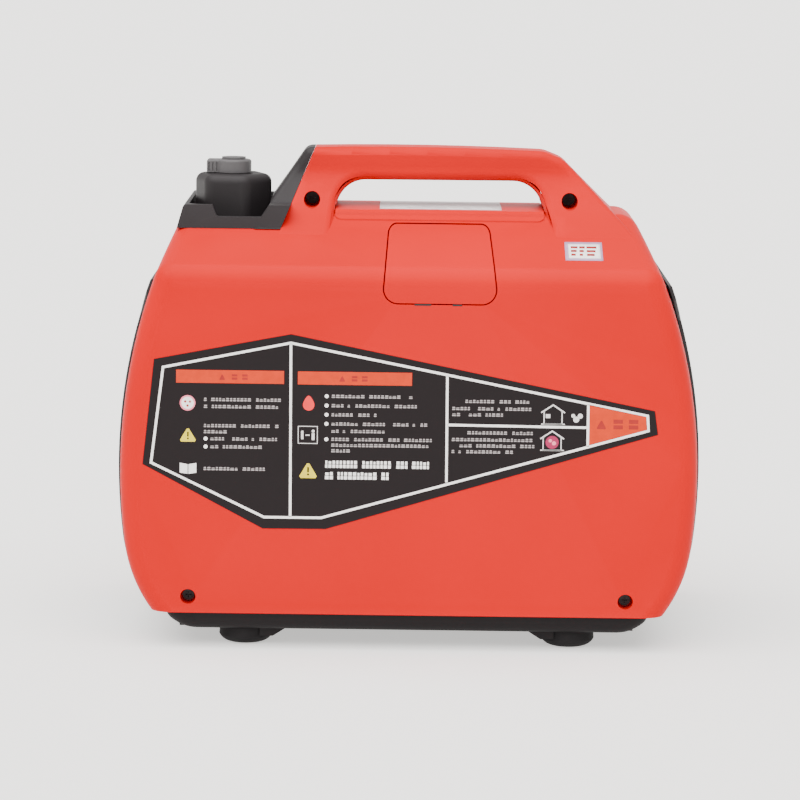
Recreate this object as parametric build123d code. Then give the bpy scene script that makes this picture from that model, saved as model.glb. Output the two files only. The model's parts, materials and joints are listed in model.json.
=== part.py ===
"""A suitcase-type inverter generator: casing, engine, alternator, fuel system and controls.

Millimetres, +Z up.  The origin is on the ground under the middle of the casing.  +X points from the
control panel (front) to the exhaust end (rear), and -Y is the side with the spark plug hatch.
"""

import math
import os

from build123d import *

OUT = "parts"

# ---------------------------------------------------------------- driving dimensions
HALF_WIDTH = 145.0  # casing flank to centre
END_X = 246.0  # casing end at mid height
PANEL_PROUD = 4.0  # how far the end panels bulge past the casing
WALL = 3.0
FOOT_HEIGHT = 15.0
CASING_BOTTOM = 31.0
MID_Z = 150.0  # height where the ends reach furthest
SHOULDER_Z = 325.0  # where the flanks turn in towards the top
CROWN_Z = 367.0  # top of the casing
HANDLE_TOP = 420.0
END_ROUND = 16.0  # rounding between the ends and the flanks
GAP = 0.6  # joint line between mating covers

# end profile, as arcs in the side view
FRONT_UPPER_R = 500.0
REAR_UPPER_R = 455.0
PANEL_UPPER_R = 480.0
LOWER_R = 500.0
TOE_R = 127.0
KNEE_Z = 90.0

# crank centre and the engine's planes
CRANK_X, CRANK_Z = 25.0, 108.0
ROD_PLANE_Y = -5.0
CRANK_THROW = 21.5
ROD_LENGTH = 72.0
BORE_R = 24.3
CAP_X = -157.0  # fuel filler centre
GRIP_X, GRIP_Z = CRANK_X + 35.5, 236.0  # starter grip centre

# control panel
PANEL_FACE_X = -226.0

SCREW_SPOTS_LOW = [(-187.0, 45.0), (186.0, 45.0)]
SCREW_SPOTS_HANDLE = [(-87.0, 376.0), (137.0, 377.0)]
FOOT_SPOTS = [(x, y) for x in (-139.0, 139.0) for y in (-106.0, 106.0)]
MOUNT_SPOTS = [(x, y) for x in (-22.0, 72.0) for y in (-42.0, 26.0)]


# ---------------------------------------------------------------- helpers
def along_x(sketch, x0, x1):
    """A sketch of (y, z) points, extruded from x0 to x1."""
    return extrude(Plane.YZ.offset(x0) * sketch, amount=x1 - x0)


def along_y(sketch, y0, y1):
    """A sketch of (x, z) points, extruded from y0 to y1."""
    return extrude(Plane.XZ.offset(-y1) * sketch, amount=y1 - y0)


def along_z(sketch, z0, z1):
    """A sketch of (x, y) points, extruded from z0 to z1."""
    return extrude(Plane.XY.offset(z0) * sketch, amount=z1 - z0)


def disc(u, v, r):
    return Pos(u, v) * Circle(r)


def ring(u, v, r_out, r_in):
    return disc(u, v, r_out) - disc(u, v, r_in)


def block(x0, x1, y0, y1, z0, z1):
    return Pos((x0 + x1) / 2, (y0 + y1) / 2, (z0 + z1) / 2) * Box(x1 - x0, y1 - y0, z1 - z0)


def plate(u0, u1, v0, v1, r):
    """A rounded rectangle as a sketch."""
    return Pos((u0 + u1) / 2, (v0 + v1) / 2) * RectangleRounded(u1 - u0, v1 - v0, r)


def outline(*points):
    return make_face(Polyline(*points, close=True))


def corner_round(face, radius, *spots):
    """Rounds the corners of a sketch that lie at the given points."""
    near = [v for v in face.vertices() if any((v.center() - Vector(*s)).length < 0.5 for s in spots)]
    return fillet(near, radius)


def tube(points, radius, bends):
    """A round tube along straight runs joined by tangent arcs."""
    path = FilletPolyline(*points, radius=bends)
    start = Plane(origin=path @ 0, z_dir=path % 0)
    return sweep(start * Circle(radius), path=path)


def save(name, *solids):
    """Writes one named piece; several separate solids may share the name."""
    os.makedirs(OUT, exist_ok=True)
    parts = [s for group in solids for s in group.solids()]
    export_step(Compound(children=parts) if len(parts) > 1 else parts[0], f"{OUT}/{name}.step")


# ---------------------------------------------------------------- the casing's outer form
def end_reach(end_x, radius, z):
    """How far an end profile arc reaches at height z."""
    return end_x - radius + math.sqrt(radius**2 - (z - MID_Z) ** 2)


def end_curve(end_x, upper_r, top, sign):
    """The three tangent arcs of one end in the side view, from the toe up."""
    knee_x = end_reach(end_x, LOWER_R, KNEE_Z)
    toward = ((end_x - LOWER_R - knee_x) / LOWER_R, (MID_Z - KNEE_Z) / LOWER_R)
    cx, cz = knee_x + TOE_R * toward[0], KNEE_Z + TOE_R * toward[1]
    toe_x = cx + math.sqrt(TOE_R**2 - (CASING_BOTTOM - cz) ** 2)
    mid = (math.atan2(KNEE_Z - cz, knee_x - cx) + math.atan2(CASING_BOTTOM - cz, toe_x - cx)) / 2
    low_z, high_z = (KNEE_Z + MID_Z) / 2, (MID_Z + top) / 2
    stations = [
        (toe_x, CASING_BOTTOM),
        (cx + TOE_R * math.cos(mid), cz + TOE_R * math.sin(mid)),
        (knee_x, KNEE_Z),
        (end_reach(end_x, LOWER_R, low_z), low_z),
        (end_x, MID_Z),
        (end_reach(end_x, upper_r, high_z), high_z),
        (end_reach(end_x, upper_r, top), top),
    ]
    p = [(sign * x, z) for x, z in stations]
    return [ThreePointArc(*p[i : i + 3]) for i in (0, 2, 4)], p[0], p[-1]


def casing(inset):
    """The casing's solid form, with every face moved in by inset."""
    end_x = END_X - inset
    crown = CROWN_Z - inset
    right, toe_r, top_r = end_curve(end_x, REAR_UPPER_R - inset, crown, 1)
    left, toe_l, top_l = end_curve(end_x, FRONT_UPPER_R - inset, crown, -1)
    side = make_face(right + left + [Line(toe_l, toe_r), Line(top_r, top_l)])
    side = corner_round(side, 20 - inset, top_r, top_l)
    w = HALF_WIDTH - inset
    low = CASING_BOTTOM - 1
    shoulders = [(w, SHOULDER_Z), (-w, SHOULDER_Z)]
    ends = outline((w, low), shoulders[0], (40, crown), (-40, crown), shoulders[1], (-w, low))
    ends = corner_round(ends, 17 - inset, *shoulders)
    form = (along_y(side, -200, 200) & along_x(ends, -300, 300)).solids()[0]
    rims = [e for e in form.edges() if is_rim(e)]
    return form.fillet(END_ROUND - inset, rims)


def is_rim(edge):
    """True for the edges where the flanks and shoulders meet the casing's ends and top."""
    mid, size = edge @ 0.5, edge.bounding_box().size
    at_bottom = abs(mid.Z - CASING_BOTTOM) < 0.5
    straight_crease = size.Y < 0.01 and size.Z < 0.01 and mid.Z < 347
    return abs(mid.Y) > 39 and not at_bottom and not straight_crease


def panel_outline(gap):
    """The end panel's outline (y, z), narrow below and flared into ears at its top."""
    half, ear = 100.0 - gap, 124.0 - gap
    low, top = CASING_BOTTOM + gap, 315.0 - gap
    right = [(half, low), (half, 281 + gap * 0.4), (ear, 301 + gap * 0.4), (ear, top)]
    return outline(*right, *[(-y, z) for y, z in reversed(right)])


FORM = casing(0)
HOLLOW = casing(WALL)
SKIN = FORM - HOLLOW - block(-300, 300, -200, 200, 0, CASING_BOTTOM)


# ---------------------------------------------------------------- handle
LEG_TOP = (-92.5, HANDLE_TOP)  # where the front leg's leading edge meets the grip
LEG_RUN = 0.68  # forward run of that edge per millimetre of drop
TRIM_TOP, TRIM_LOW = (-84.5, HANDLE_TOP + 1), (-120.5, 335.0)  # joint between the trim and the red leg


def handle_side(inset):
    """Side outline of the handle with its two legs, moved in by inset."""
    shoulder, bend, heel = (115, HANDLE_TOP - 1.2), (131, HANDLE_TOP - 7.5), (201.8, 341.2)
    top = ThreePointArc(LEG_TOP, (12, HANDLE_TOP + 1.2), shoulder)
    foot_x = LEG_TOP[0] - LEG_RUN * (LEG_TOP[1] - 335)
    rest = Polyline(shoulder, bend, heel, (186, 335), (foot_x, 335), LEG_TOP)
    face = make_face([top] + rest.edges())
    face = corner_round(face, 20, shoulder, bend)
    face = corner_round(face, 9, LEG_TOP)
    return offset(face, -inset, kind=Kind.INTERSECTION) if inset else face


def handle_ends(inset):
    """End outline of the handle: a narrow grip whose legs flare towards the shoulders."""
    flare = [(21 - inset, 404), (27 - inset, 390), (42 - inset, 374), (60 - inset, 362.5), (90 - inset, 346)]
    top = HANDLE_TOP + 2 - inset

    def side(sign):
        points = [(sign * y, z) for y, z in flare]
        foot, neck = points[-1], points[0]
        curve = Spline(*points, tangents=[(0, -1), (sign * 0.88, -0.47)])
        return [curve], [Line((foot[0], 335), foot)], [Line(neck, (neck[0], top))]

    pieces = [edge for sign in (-1, 1) for group in side(sign) for edge in group]
    neck = flare[0][0]
    foot = flare[-1][0]
    return make_face(pieces + [Line((-neck, top), (neck, top)), Line((-foot, 335), (foot, 335))])


def grip_window(inset):
    """The hand opening, grown by inset."""
    face = outline((-70, 330), (-64, 392), (108, 392.5), (119, 352), (119, 330))
    face = corner_round(face, 26, (-64, 392), (108, 392.5))
    return offset(face, inset, kind=Kind.INTERSECTION) if inset else face


def handle_block():
    form = (along_y(handle_side(0), -95, 95) & along_x(handle_ends(0), -155, 215)).solids()[0]
    form = (form - along_y(grip_window(0), -95, 95)).solids()[0]
    return form.fillet(7, [e for e in form.edges() if is_handle_rim(e)])


def is_handle_rim(edge):
    """True for the edges round the handle's two flanks, on its outline and round the window."""
    mid, size = edge @ 0.5, edge.bounding_box().size
    crease = size.Z < 0.01 and size.X > 100
    return abs(mid.Y) > 10 and mid.Z > 343 and not crease


HANDLE = handle_block()


def handle_core():
    """The handle's hollow inside, kept clear of the window and of the screw bosses."""
    core = along_y(handle_side(WALL), -95, 95) & along_x(handle_ends(WALL), -155, 215)
    core -= along_y(grip_window(WALL), -95, 95)
    for x, z in SCREW_SPOTS_HANDLE:
        core -= along_y(disc(x, z, 9), -95, 95)
    return core


def trim_region(gap):
    """Everything in front of the joint between the dark trim and the red handle leg."""
    return along_y(
        outline((TRIM_TOP[0] - gap, TRIM_TOP[1]), (TRIM_LOW[0] - gap, TRIM_LOW[1]), (-200, 335), (-200, 421)), -100, 100
    )


def tub_column(grow):
    """The well let into the casing's top for the fuel filler."""
    return along_z(plate(-195 - grow, -121 + grow, -66 - grow, 66 + grow, 12), 330, 380)


def top_opening():
    """What is cut from the casing's top for the fuel filler and the deck cover."""
    return tub_column(0.3) + deck_opening()


def deck_opening():
    return along_z(plate(-67, 115, -48, 48, 8), 330, 372)


def deck_room():
    """The room that the lid's flange takes on top of the casing."""
    return along_z(plate(-67, 115, -57.6, 57.6, 8), 350, 372) - FORM


def side_half(sign):
    """One casing half with its half of the handle; sign is -1 for the hatch side."""
    keep = block(-300, 300, *sorted((sign * 0.05, sign * 200)), 0, 500)
    skin = SKIN - along_x(panel_outline(0), 190, 300) - along_x(panel_outline(0), -300, -190)
    handle = HANDLE - HOLLOW - handle_core() - trim_region(0)
    handle -= deck_opening()
    handle -= deck_room()
    half = (skin - top_opening() + handle) & keep
    for x, z in SCREW_SPOTS_LOW:
        boss = along_y(disc(x, z, 9), *sorted((sign * 129, sign * 143)))
        half += boss
        half -= along_y(disc(x, z, 6.5), *sorted((sign * 132, sign * 146)))
        half -= along_y(disc(x, z, 2.3), *sorted((sign * 125, sign * 146)))
    return half


def near_shell():
    half = side_half(-1)
    for x, z in SCREW_SPOTS_HANDLE:
        half -= along_y(disc(x, z, 7), -70, -9)
        half -= along_y(disc(x, z, 2.3), -70, 1)
    half -= along_y(hatch_outline(0), -160, -48)
    return half


def far_shell():
    half = side_half(1)
    for x, z in SCREW_SPOTS_HANDLE:
        half -= along_y(disc(x, z, 1.6), -1, 14)
    half -= along_y(bezel_outline(1.0), 130, 160)
    half -= along_y(cover_outline(0), 130, 160)
    half -= choke_slot(0)
    for slot in intake_slots():
        half -= slot
    half += cover_hinge_lugs()
    return half


# ---------------------------------------------------------------- covers let into the casing
def hatch_outline(inset):
    face = outline((-25, 298), (74, 298), (67, 359), (-20, 359))
    face = corner_round(face, 13, (-25, 298), (74, 298))
    face = corner_round(face, 8, (67, 359), (-20, 359))
    return offset(face, -inset, kind=Kind.INTERSECTION) if inset else face


def spark_plug_hatch():
    """A snap-in door that wraps from the flank over the shoulder, with a stiffening frame inside."""
    door = SKIN & along_y(hatch_outline(1.0), -160, -40)
    frame_in = casing(WALL + 4)
    frame = (HOLLOW - frame_in) & along_y(hatch_outline(5) - hatch_outline(8), -160, -56)
    return door + frame


COVER = (-183.0, -73.0, 62.0, 206.0)  # maintenance cover opening: x0, x1, z0, z1
COVER_AXIS = (COVER[0] + 3.5, 142.0)  # hinge axis (x, y)


def cover_outline(inset):
    x0, x1, z0, z1 = COVER
    return plate(x0 + inset, x1 - inset, z0 + inset, z1 - inset, 10 - inset)


def maintenance_cover():
    """The air filter and oil access door: a panel with a rolled hinge edge."""
    x0, x1, z0, z1 = COVER
    axis_x, axis_y = COVER_AXIS
    panel = along_y(cover_outline(GAP), 142, 145) & block(axis_x, x1, 141, 146, z0, z1)
    barrel = along_z(disc(axis_x, axis_y, 3), z0 + 12, z1 - 12)
    panel -= block(axis_x - 4, axis_x + 4, 130, 150, z0 - 1, z0 + 12) + block(axis_x - 4, axis_x + 4, 130, 150, z1 - 12, z1 + 1)
    rim = along_y(cover_outline(6) - cover_outline(8.5), 138, 142) & block(axis_x + 8, x1, 130, 146, z0, z1)
    door = panel + barrel + rim
    for i in range(5):
        z = 92 + 12 * i
        door -= along_y(plate(-150, -108, z, z + 5, 2.4), 136, 150)
    door -= along_z(disc(axis_x, axis_y, 1.35), z0 - 1, z1 + 1)
    door -= along_y(disc(LATCH[0], LATCH[1], 5.2), 130, 150)
    return door


LATCH = (-88.0, 134.0)  # maintenance cover latch (x, z)


def maintenance_latch():
    """A quarter-turn knob with a coin slot, and the short cam behind it."""
    head = along_y(disc(*LATCH, 10), 145.1, 148.2)
    head = chamfer(head.edges().filter_by(lambda e: (e @ 0.5).Y > 148), 1)
    head -= along_y(plate(LATCH[0] - 8, LATCH[0] + 8, LATCH[1] - 1.2, LATCH[1] + 1.2, 1), 146.6, 150)
    stem = along_y(disc(*LATCH, 5), 137, 145.2)
    cam = along_y(plate(LATCH[0] - 5, LATCH[0] + 14, LATCH[1] - 5, LATCH[1] + 5, 3), 135, 137.4)
    return head + stem + cam


def cover_hinge_pin():
    return along_z(disc(*COVER_AXIS, 1.25), COVER[2] + 5, COVER[3] - 5)


def cover_hinge_lugs():
    """Two ears behind the casing wall that hold the hinge pin's ends."""
    axis_x, axis_y = COVER_AXIS
    _, _, z0, z1 = COVER
    lugs = []
    for a, b in ((z0 - 6, z0 + 11), (z1 - 11, z1 + 6)):
        arm = block(axis_x - 8, axis_x + 3.2, 136, 142.2, a, b) + along_z(disc(axis_x, axis_y, 3), a, b)
        lugs.append(arm - block(axis_x - 20, axis_x + 20, 144.99, 150, a, b))
    both = lugs[0] + lugs[1]
    return both - along_z(disc(axis_x, axis_y, 1.25), z0 + 5, z1 - 5)


def bezel_outline(grow):
    return plate(GRIP_X - 60 - grow, GRIP_X + 60 + grow, GRIP_Z - 23 - grow, GRIP_Z + 23 + grow, 12 + grow)


def starter_bezel():
    """The dished surround that the starter grip rests in."""
    flange = along_y(bezel_outline(5), 145, 147)
    flange = chamfer(flange.edges().filter_by(lambda e: (e @ 0.5).Y > 146.9), 1)
    dish = along_y(bezel_outline(0.5), 117.5, 146)
    hollow = along_y(bezel_outline(-2.5), 120.5, 150)
    guide = along_y(disc(GRIP_X, GRIP_Z, 8.5), 115.5, 118)
    return flange + dish + guide - hollow - along_y(disc(GRIP_X, GRIP_Z, 2.6), 110, 130)


def choke_slot(grow):
    return along_y(plate(-52 - grow, -14 + grow, 226 - grow, 234 + grow, 3.5), 130, 160)


def intake_slots():
    """Cooling air slots over the fan, shorter towards the top and bottom of a round field."""
    slots = []
    for i in range(-4, 5):
        half = math.sqrt(62**2 - (i * 13) ** 2)
        z = CRANK_Z + i * 13
        slots.append(along_y(plate(CRANK_X - half, CRANK_X + half, z - 2.6, z + 2.6, 2.5), 130, 160))
    return slots


def deck_form(drop):
    """The lid's section, swept along the machine: a low dome between two sloping flanges."""
    half = [(57, 330), (57, 361.4 - drop), (50, 364.2 - drop), (49, 366.6 - drop), (44, 368.4 - drop)]
    dome = ThreePointArc((-44, 368.4 - drop), (0, 369.4 - drop), (44, 368.4 - drop))
    right = Polyline(*half).edges()
    left = Polyline(*[(-y, z) for y, z in half]).edges()
    return along_x(make_face([dome, Line((-57, 330), (57, 330))] + right + left), -100, 150)


def deck_cover():
    """The lid under the grip: its flanges rest on the casing and its body drops into the opening."""
    lid = along_z(plate(-67 + GAP, 115 - GAP, -57, 57, 7), 351, 380) & deck_form(0)
    lid -= FORM - along_z(plate(-67 + GAP, 115 - GAP, -48 + GAP, 48 - GAP, 7), 330, 380)
    return lid - (along_z(plate(-67 + 4, 115 - 4, -45, 45, 4), 330, 380) & deck_form(2.5))


def warning_label():
    """The large printed label on the flat of the near flank."""
    points = [(-228, 161), (-212, 249), (-102, 272), (208, 207), (211, 185), (-63, 106), (-121, 106)]
    return along_y(outline(*points), -HALF_WIDTH - 0.4, -HALF_WIDTH)


# ---------------------------------------------------------------- fuel cap surround
TUB_TOP = 373.4


def handle_rest():
    """The room behind the trim's joint, which belongs to the red handle leg."""
    return along_y(
        outline((TRIM_TOP[0] - 0.3, TRIM_TOP[1]), (TRIM_LOW[0] - 0.3, TRIM_LOW[1]), (-60, 335), (-60, 421)), -100, 100
    )


def tub_section(x, top_y, low_y):
    """The tub's outline across the machine at one station."""
    points = [(low_y, 335), (low_y, 353), (top_y, TUB_TOP), (-top_y, TUB_TOP), (-low_y, 353), (-low_y, 335)]
    return Plane.YZ.offset(x) * outline(*points)


def surround_tub():
    """A tapering tub round the filler, scooped down on the near side."""
    form = loft([tub_section(-212, 71, 74.5), tub_section(-100, 70, 74.5)], ruled=True)
    side = outline((-206, 340), (-196.5, TUB_TOP + 1), (-100, TUB_TOP + 1), (-100, 340))
    side = corner_round(side, 5, (-196.5, TUB_TOP + 1))
    form = (form & along_y(side, -100, 100)).solids()[0]
    rims = [e for e in form.edges() if (e @ 0.5).Z > TUB_TOP - 2 and (e @ 0.5).X < -150 and e.length > 60]
    return form.fillet(3, rims)


def fuel_cap_surround():
    """The dark tub that sinks the fuel cap, with the trim that climbs the handle's front leg."""
    body = surround_tub() + (HANDLE & trim_region(0.3))
    body -= along_z(plate(-192.5, -123, -66, 66, 14), 357, 400)
    scoop = outline((-178, 390), (-168, 363.3), (-130, 363.3), (-121.5, 376), (-115, 390))
    body -= along_y(corner_round(scoop, 3, (-168, 363.3)), -100, -45)
    body -= FORM - tub_column(0)
    body -= block(-220, -90, -100, 100, 330, 353.5)
    body -= handle_rest()
    body -= along_z(disc(CAP_X, 0, 31), 320, 400)
    return body.solids().sort_by(SortBy.VOLUME)[-1]


# ---------------------------------------------------------------- fuel tank, cap and tap
def tank_form(inset):
    """The tank's moulded body, moved in by inset."""
    w, low, eave, top = 124 - inset, 250 + inset, 312 - inset / 2, 338 - inset
    ends = outline((w, low), (w, eave), (66, top), (-66, top), (-w, eave), (-w, low))
    ends = corner_round(ends, 14 - inset, (w, low), (-w, low), (w, eave), (-w, eave))
    form = along_x(ends, -198 + inset, -84 - inset).solids()[0]
    return form.fillet(11 - inset, [e for e in form.edges() if e.bounding_box().size.X < 1])


def fuel_tank():
    """A moulded tank with its filler neck; the cap screws over the neck."""
    tank = tank_form(0) + along_z(disc(CAP_X, 0, 23), 330, 372)
    tank += along_z(disc(CAP_X, 0, 30), 337, 341)
    tank -= tank_form(3)
    tank -= along_z(disc(CAP_X, 0, 20), 325, 380)
    return tank - along_z(disc(-110, -80, 4), 246, 256)


CAP_TOP = 395.5


def hexagon(radius, rounding):
    angles = [math.radians(60 * i - 9) for i in range(6)]
    corners = [(CAP_X + radius * math.cos(a), radius * math.sin(a)) for a in angles]
    return corner_round(outline(*corners), rounding, *corners)


def fuel_cap():
    """A rounded hexagonal screw cap, hollow below, with a seat for the vent lever."""
    body = along_z(hexagon(35.5, 12), 359, CAP_TOP)
    rim = [e for e in body.edges() if (e @ 0.5).Z > CAP_TOP - 0.5]
    body = body.solids()[0].fillet(7.5, rim)
    body += along_z(disc(CAP_X, 0, 29.5), 357.5, 360)
    body -= along_z(disc(CAP_X, 0, 23.5), 350, 374)
    body += along_z(disc(CAP_X, 0, 17), CAP_TOP - 0.5, CAP_TOP + 0.6)
    body -= along_z(disc(CAP_X, 0, 4.2), 380, 400)
    return body


def fuel_cap_gasket():
    return along_z(ring(CAP_X, 0, 23.2, 16), 372.2, 373.8)


def vent_lever():
    """The air vent lever on the cap: a round boss with a straight tab towards the front."""
    low, high = CAP_TOP + 0.8, CAP_TOP + 12
    boss = disc(CAP_X, 0, 15.5)
    tab = plate(CAP_X - 23.5, CAP_X, -8.5, 8.5, 2)
    lever = along_z(boss + tab, low, high)
    top = [e for e in lever.edges() if (e @ 0.5).Z > high - 0.1]
    lever = lever.solids()[0].fillet(2.2, top)
    lever += along_z(disc(CAP_X, 0, 10.5), high - 0.5, high + 2)
    lever += along_z(disc(CAP_X, 0, 4), 385, low + 0.2)
    for i in range(4):
        x = CAP_X - 22 + 3.4 * i
        lever -= block(x, x + 1.2, -9, -7.6, low + 1.2, high - 2)
        lever -= block(x, x + 1.2, 7.6, 9, low + 1.2, high - 2)
    return lever


def fuel_tap_and_hose():
    """The tank outlet with its filter bowl, and the hose down to the carburettor."""
    tap = along_z(ring(-110, -80, 3.8, 1.6), 242, 254)
    tap += Pos(-110, -80, 0) * along_z(RegularPolygon(8, 6), 241.5, 249.8) - along_z(disc(-110, -80, 1.6), 240, 255)
    tap += along_z(disc(-110, -80, 9), 221, 241.5)
    tap += along_y(disc(-110, 232, 3), -80, -62)
    hose = tube([(-110, -61.9, 232), (-110, -38, 232), (-94, -24, 222), (-70.6, -24, 222)], 3.5, [8, 8])
    return tap, hose


# ---------------------------------------------------------------- end panels
def panel_slab(sign):
    """The curved end panel, bulging past the casing, with a softened rim."""
    arcs, toe, top = end_curve(END_X + PANEL_PROUD, PANEL_UPPER_R, 330, sign)
    outer = make_face(arcs + Polyline(top, (sign * 190, top[1]), (sign * 190, toe[1]), toe).edges())
    near, far = sorted((sign * 190, sign * 300))
    slab = (along_y(outer, -130, 130) & along_x(panel_outline(GAP), near, far)).solids()[0]
    rim = [e for e in slab.edges() if abs((e @ 0.5).X) > 195 and abs((e @ 0).X) > 195]
    rim = [e for e in rim if not (abs((e @ 0.5).Y) < 90 and (e @ 0.5).Z < 40)]
    slab = slab.fillet(2.5, rim)
    arcs, toe, top = end_curve(END_X + PANEL_PROUD - 3, PANEL_UPPER_R - 3, 330, sign)
    inner = make_face(arcs + Polyline(top, (0, top[1]), (0, toe[1]), toe).edges())
    return slab - along_y(inner, -130, 130)


def front_opening(inset):
    return plate(-80 + inset, 80 - inset, 70 + inset, 280 - inset, 14 - inset)


def front_frame():
    """The dark surround of the control panel, with a skirt that runs back to the panel's plate."""
    slab = panel_slab(-1)
    outer = along_x(front_opening(-3), -300, PANEL_FACE_X) & solid_end(-1)
    return slab + outer - along_x(front_opening(0), -300, -200)


def solid_end(sign):
    """The end panel's form as a solid back to the casing's middle."""
    arcs, toe, top = end_curve(END_X + PANEL_PROUD, PANEL_UPPER_R, 330, sign)
    face = make_face(arcs + Polyline(top, (0, top[1]), (0, toe[1]), toe).edges())
    return along_y(face, -130, 130)


# control panel fittings: name to (y, z)
AC_SPOTS = [(38.0, 208.0), (-38.0, 208.0)]
DC_SPOT = (48.0, 138.0)
KNOB_SPOT = (-40.0, 132.0)
ECO_SPOT = (8.0, 146.0)
BREAKER_SPOT = (8.0, 112.0)
LAMP_SPOTS = [(20.0, 259.0), (38.0, 259.0), (56.0, 259.0)]
JACK_SPOTS = [(58.0, 91.0), (36.0, 91.0)]
EARTH_SPOT = (-58.0, 88.0)
USB_SPOT = (-38.0, 260.0)


def control_panel():
    """The plate behind the frame, pierced for each fitting."""
    face = PANEL_FACE_X
    sheet = along_x(front_opening(-6), face + 0.05, face + 3)
    for y, z in AC_SPOTS:
        sheet -= along_x(disc(y, z, 24.2), face - 1, face + 4)
    sheet -= along_x(disc(*DC_SPOT, 11.2), face - 1, face + 4)
    sheet -= along_x(disc(*KNOB_SPOT, 6.3), face - 1, face + 4)
    sheet -= along_x(plate(ECO_SPOT[0] - 7.4, ECO_SPOT[0] + 7.4, ECO_SPOT[1] - 11, ECO_SPOT[1] + 11, 1), face - 1, face + 4)
    sheet -= along_x(disc(*BREAKER_SPOT, 5.4), face - 1, face + 4)
    for y, z in LAMP_SPOTS:
        sheet -= along_x(disc(y, z, 3.1), face - 1, face + 4)
    for y, z in JACK_SPOTS:
        sheet -= along_x(disc(y, z, 7.1), face - 1, face + 4)
    sheet -= along_x(disc(*EARTH_SPOT, 3.1), face - 1, face + 4)
    sheet -= along_x(plate(USB_SPOT[0] - 17, USB_SPOT[0] + 17, USB_SPOT[1] - 9, USB_SPOT[1] + 9, 1.5), face - 1, face + 4)
    collar = along_x(ring(*BREAKER_SPOT, 8, 5.4), face - 3, face + 0.5)
    return sheet + collar


def ac_outlet(y, z):
    """A round-recess mains socket with three flat pin slots."""
    face = PANEL_FACE_X
    flange = along_x(plate(y - 29, y + 29, z - 29, z + 29, 7), face - 3, face)
    flange = chamfer(flange.edges().filter_by(lambda e: (e @ 0.5).X < face - 2.9), 1)
    body = flange + along_x(disc(y, z, 24), face - 5, face + 22)
    body -= along_x(disc(y, z, 19.5), face - 6, face + 9)
    pins = [(y, z + 10, 0), (y - 9, z - 6, 30), (y + 9, z - 6, -30)]
    for py, pz, turn in pins:
        slot = Pos(py, pz) * Rot(0, 0, turn) * RectangleRounded(2.4, 8.4, 0.8)
        body -= along_x(slot, face + 8, face + 18)
    return body


def dc_outlet():
    """The 12 V socket with its spring cap's collar, and the USB module beside the lamps."""
    face = PANEL_FACE_X
    y, z = DC_SPOT
    socket = along_x(ring(y, z, 15, 9), face - 4, face) + along_x(ring(y, z, 11, 9), face - 1, face + 26)
    socket += along_x(disc(y, z, 11), face + 26, face + 29)
    uy, uz = USB_SPOT
    usb = along_x(plate(uy - 20, uy + 20, uz - 12, uz + 12, 3), face - 2, face)
    usb += along_x(plate(uy - 16.7, uy + 16.7, uz - 8.7, uz + 8.7, 1.2), face - 0.5, face + 18)
    for dy in (-8, 8):
        usb -= along_x(plate(uy + dy - 6, uy + dy + 6, uz - 2.4, uz + 2.4, 0.6), face - 4, face + 12)
    return socket, usb


def engine_switch():
    """The rotary run, stop and choke switch on its shaft."""
    face = PANEL_FACE_X
    y, z = KNOB_SPOT
    knob = along_x(disc(y, z, 19), face - 8, face - 0.6)
    knob = chamfer(knob.edges().filter_by(lambda e: (e @ 0.5).X < face - 7.9), 1.5)
    knob += along_x(plate(y - 5, y + 5, z - 18, z + 18, 3), face - 17, face - 7)
    knob += along_x(disc(y, z, 6.2), face - 1, face + 12)
    return knob


def eco_switch():
    """The economy rocker, tilted as it stands in its first position."""
    face = PANEL_FACE_X
    y, z = ECO_SPOT
    side = outline((face + 5, z - 9.5), (face - 0.8, z - 10), (face - 2.2, z), (face - 5.0, z + 10), (face + 3, z + 9.5))
    return along_y(side, y - 6.6, y + 6.6)


def breaker_button():
    face = PANEL_FACE_X
    y, z = BREAKER_SPOT
    cap = along_x(disc(y, z, 5.0), face - 7, face + 8)
    return chamfer(cap.edges().filter_by(lambda e: (e @ 0.5).X < face - 6.9), 0.8)


def indicator_lamps():
    """Three lenses: output, overload and oil warning."""
    face = PANEL_FACE_X
    lamps = []
    for y, z in LAMP_SPOTS:
        lens = along_x(disc(y, z, 4.2), face - 2.4, face) + along_x(disc(y, z, 3), face - 0.5, face + 9)
        lamps.append(fillet(lens.edges().filter_by(lambda e: (e @ 0.5).X < face - 2.3), 1.8))
    return lamps


def panel_terminals():
    """Two parallel-running jacks, and the earth stud with its nut and washer."""
    face = PANEL_FACE_X
    jacks = []
    for y, z in JACK_SPOTS:
        collar = along_x(RegularPolygon(9, 6, rotation=90), face - 3, face)
        jack = Pos(0, y, z) * collar + along_x(ring(y, z, 7, 2.6), face - 6, face + 16)
        jacks.append(jack - along_x(disc(y, z, 2.6), face - 8, face + 10))
    y, z = EARTH_SPOT
    stud = along_x(disc(y, z, 3), face - 14, face + 10)
    nut = Pos(0, y, z) * along_x(RegularPolygon(6.4, 6), face - 7, face - 2)
    washer = along_x(disc(y, z, 7), face - 2, face)
    return jacks, stud + nut + washer


EXHAUST_SPOT = (-44.0, 122.0)  # tail pipe centre (y, z)


def rear_panel():
    """The exhaust end's cover: louvres above and beside a round opening for the tail pipe."""
    panel = panel_slab(1)
    panel += along_x(disc(*EXHAUST_SPOT, 30), 228, 300) & (solid_end(1) - panel_inside())
    for i in range(9):
        z = 196 + 12 * i
        panel -= along_x(plate(-82, 82, z, z + 6, 2.8), 180, 300)
    for i in range(8):
        z = 86 + 12 * i
        panel -= along_x(plate(6, 82, z, z + 6, 2.8), 180, 300)
    panel -= along_x(disc(*EXHAUST_SPOT, 25), 180, 300)
    return panel


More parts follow.
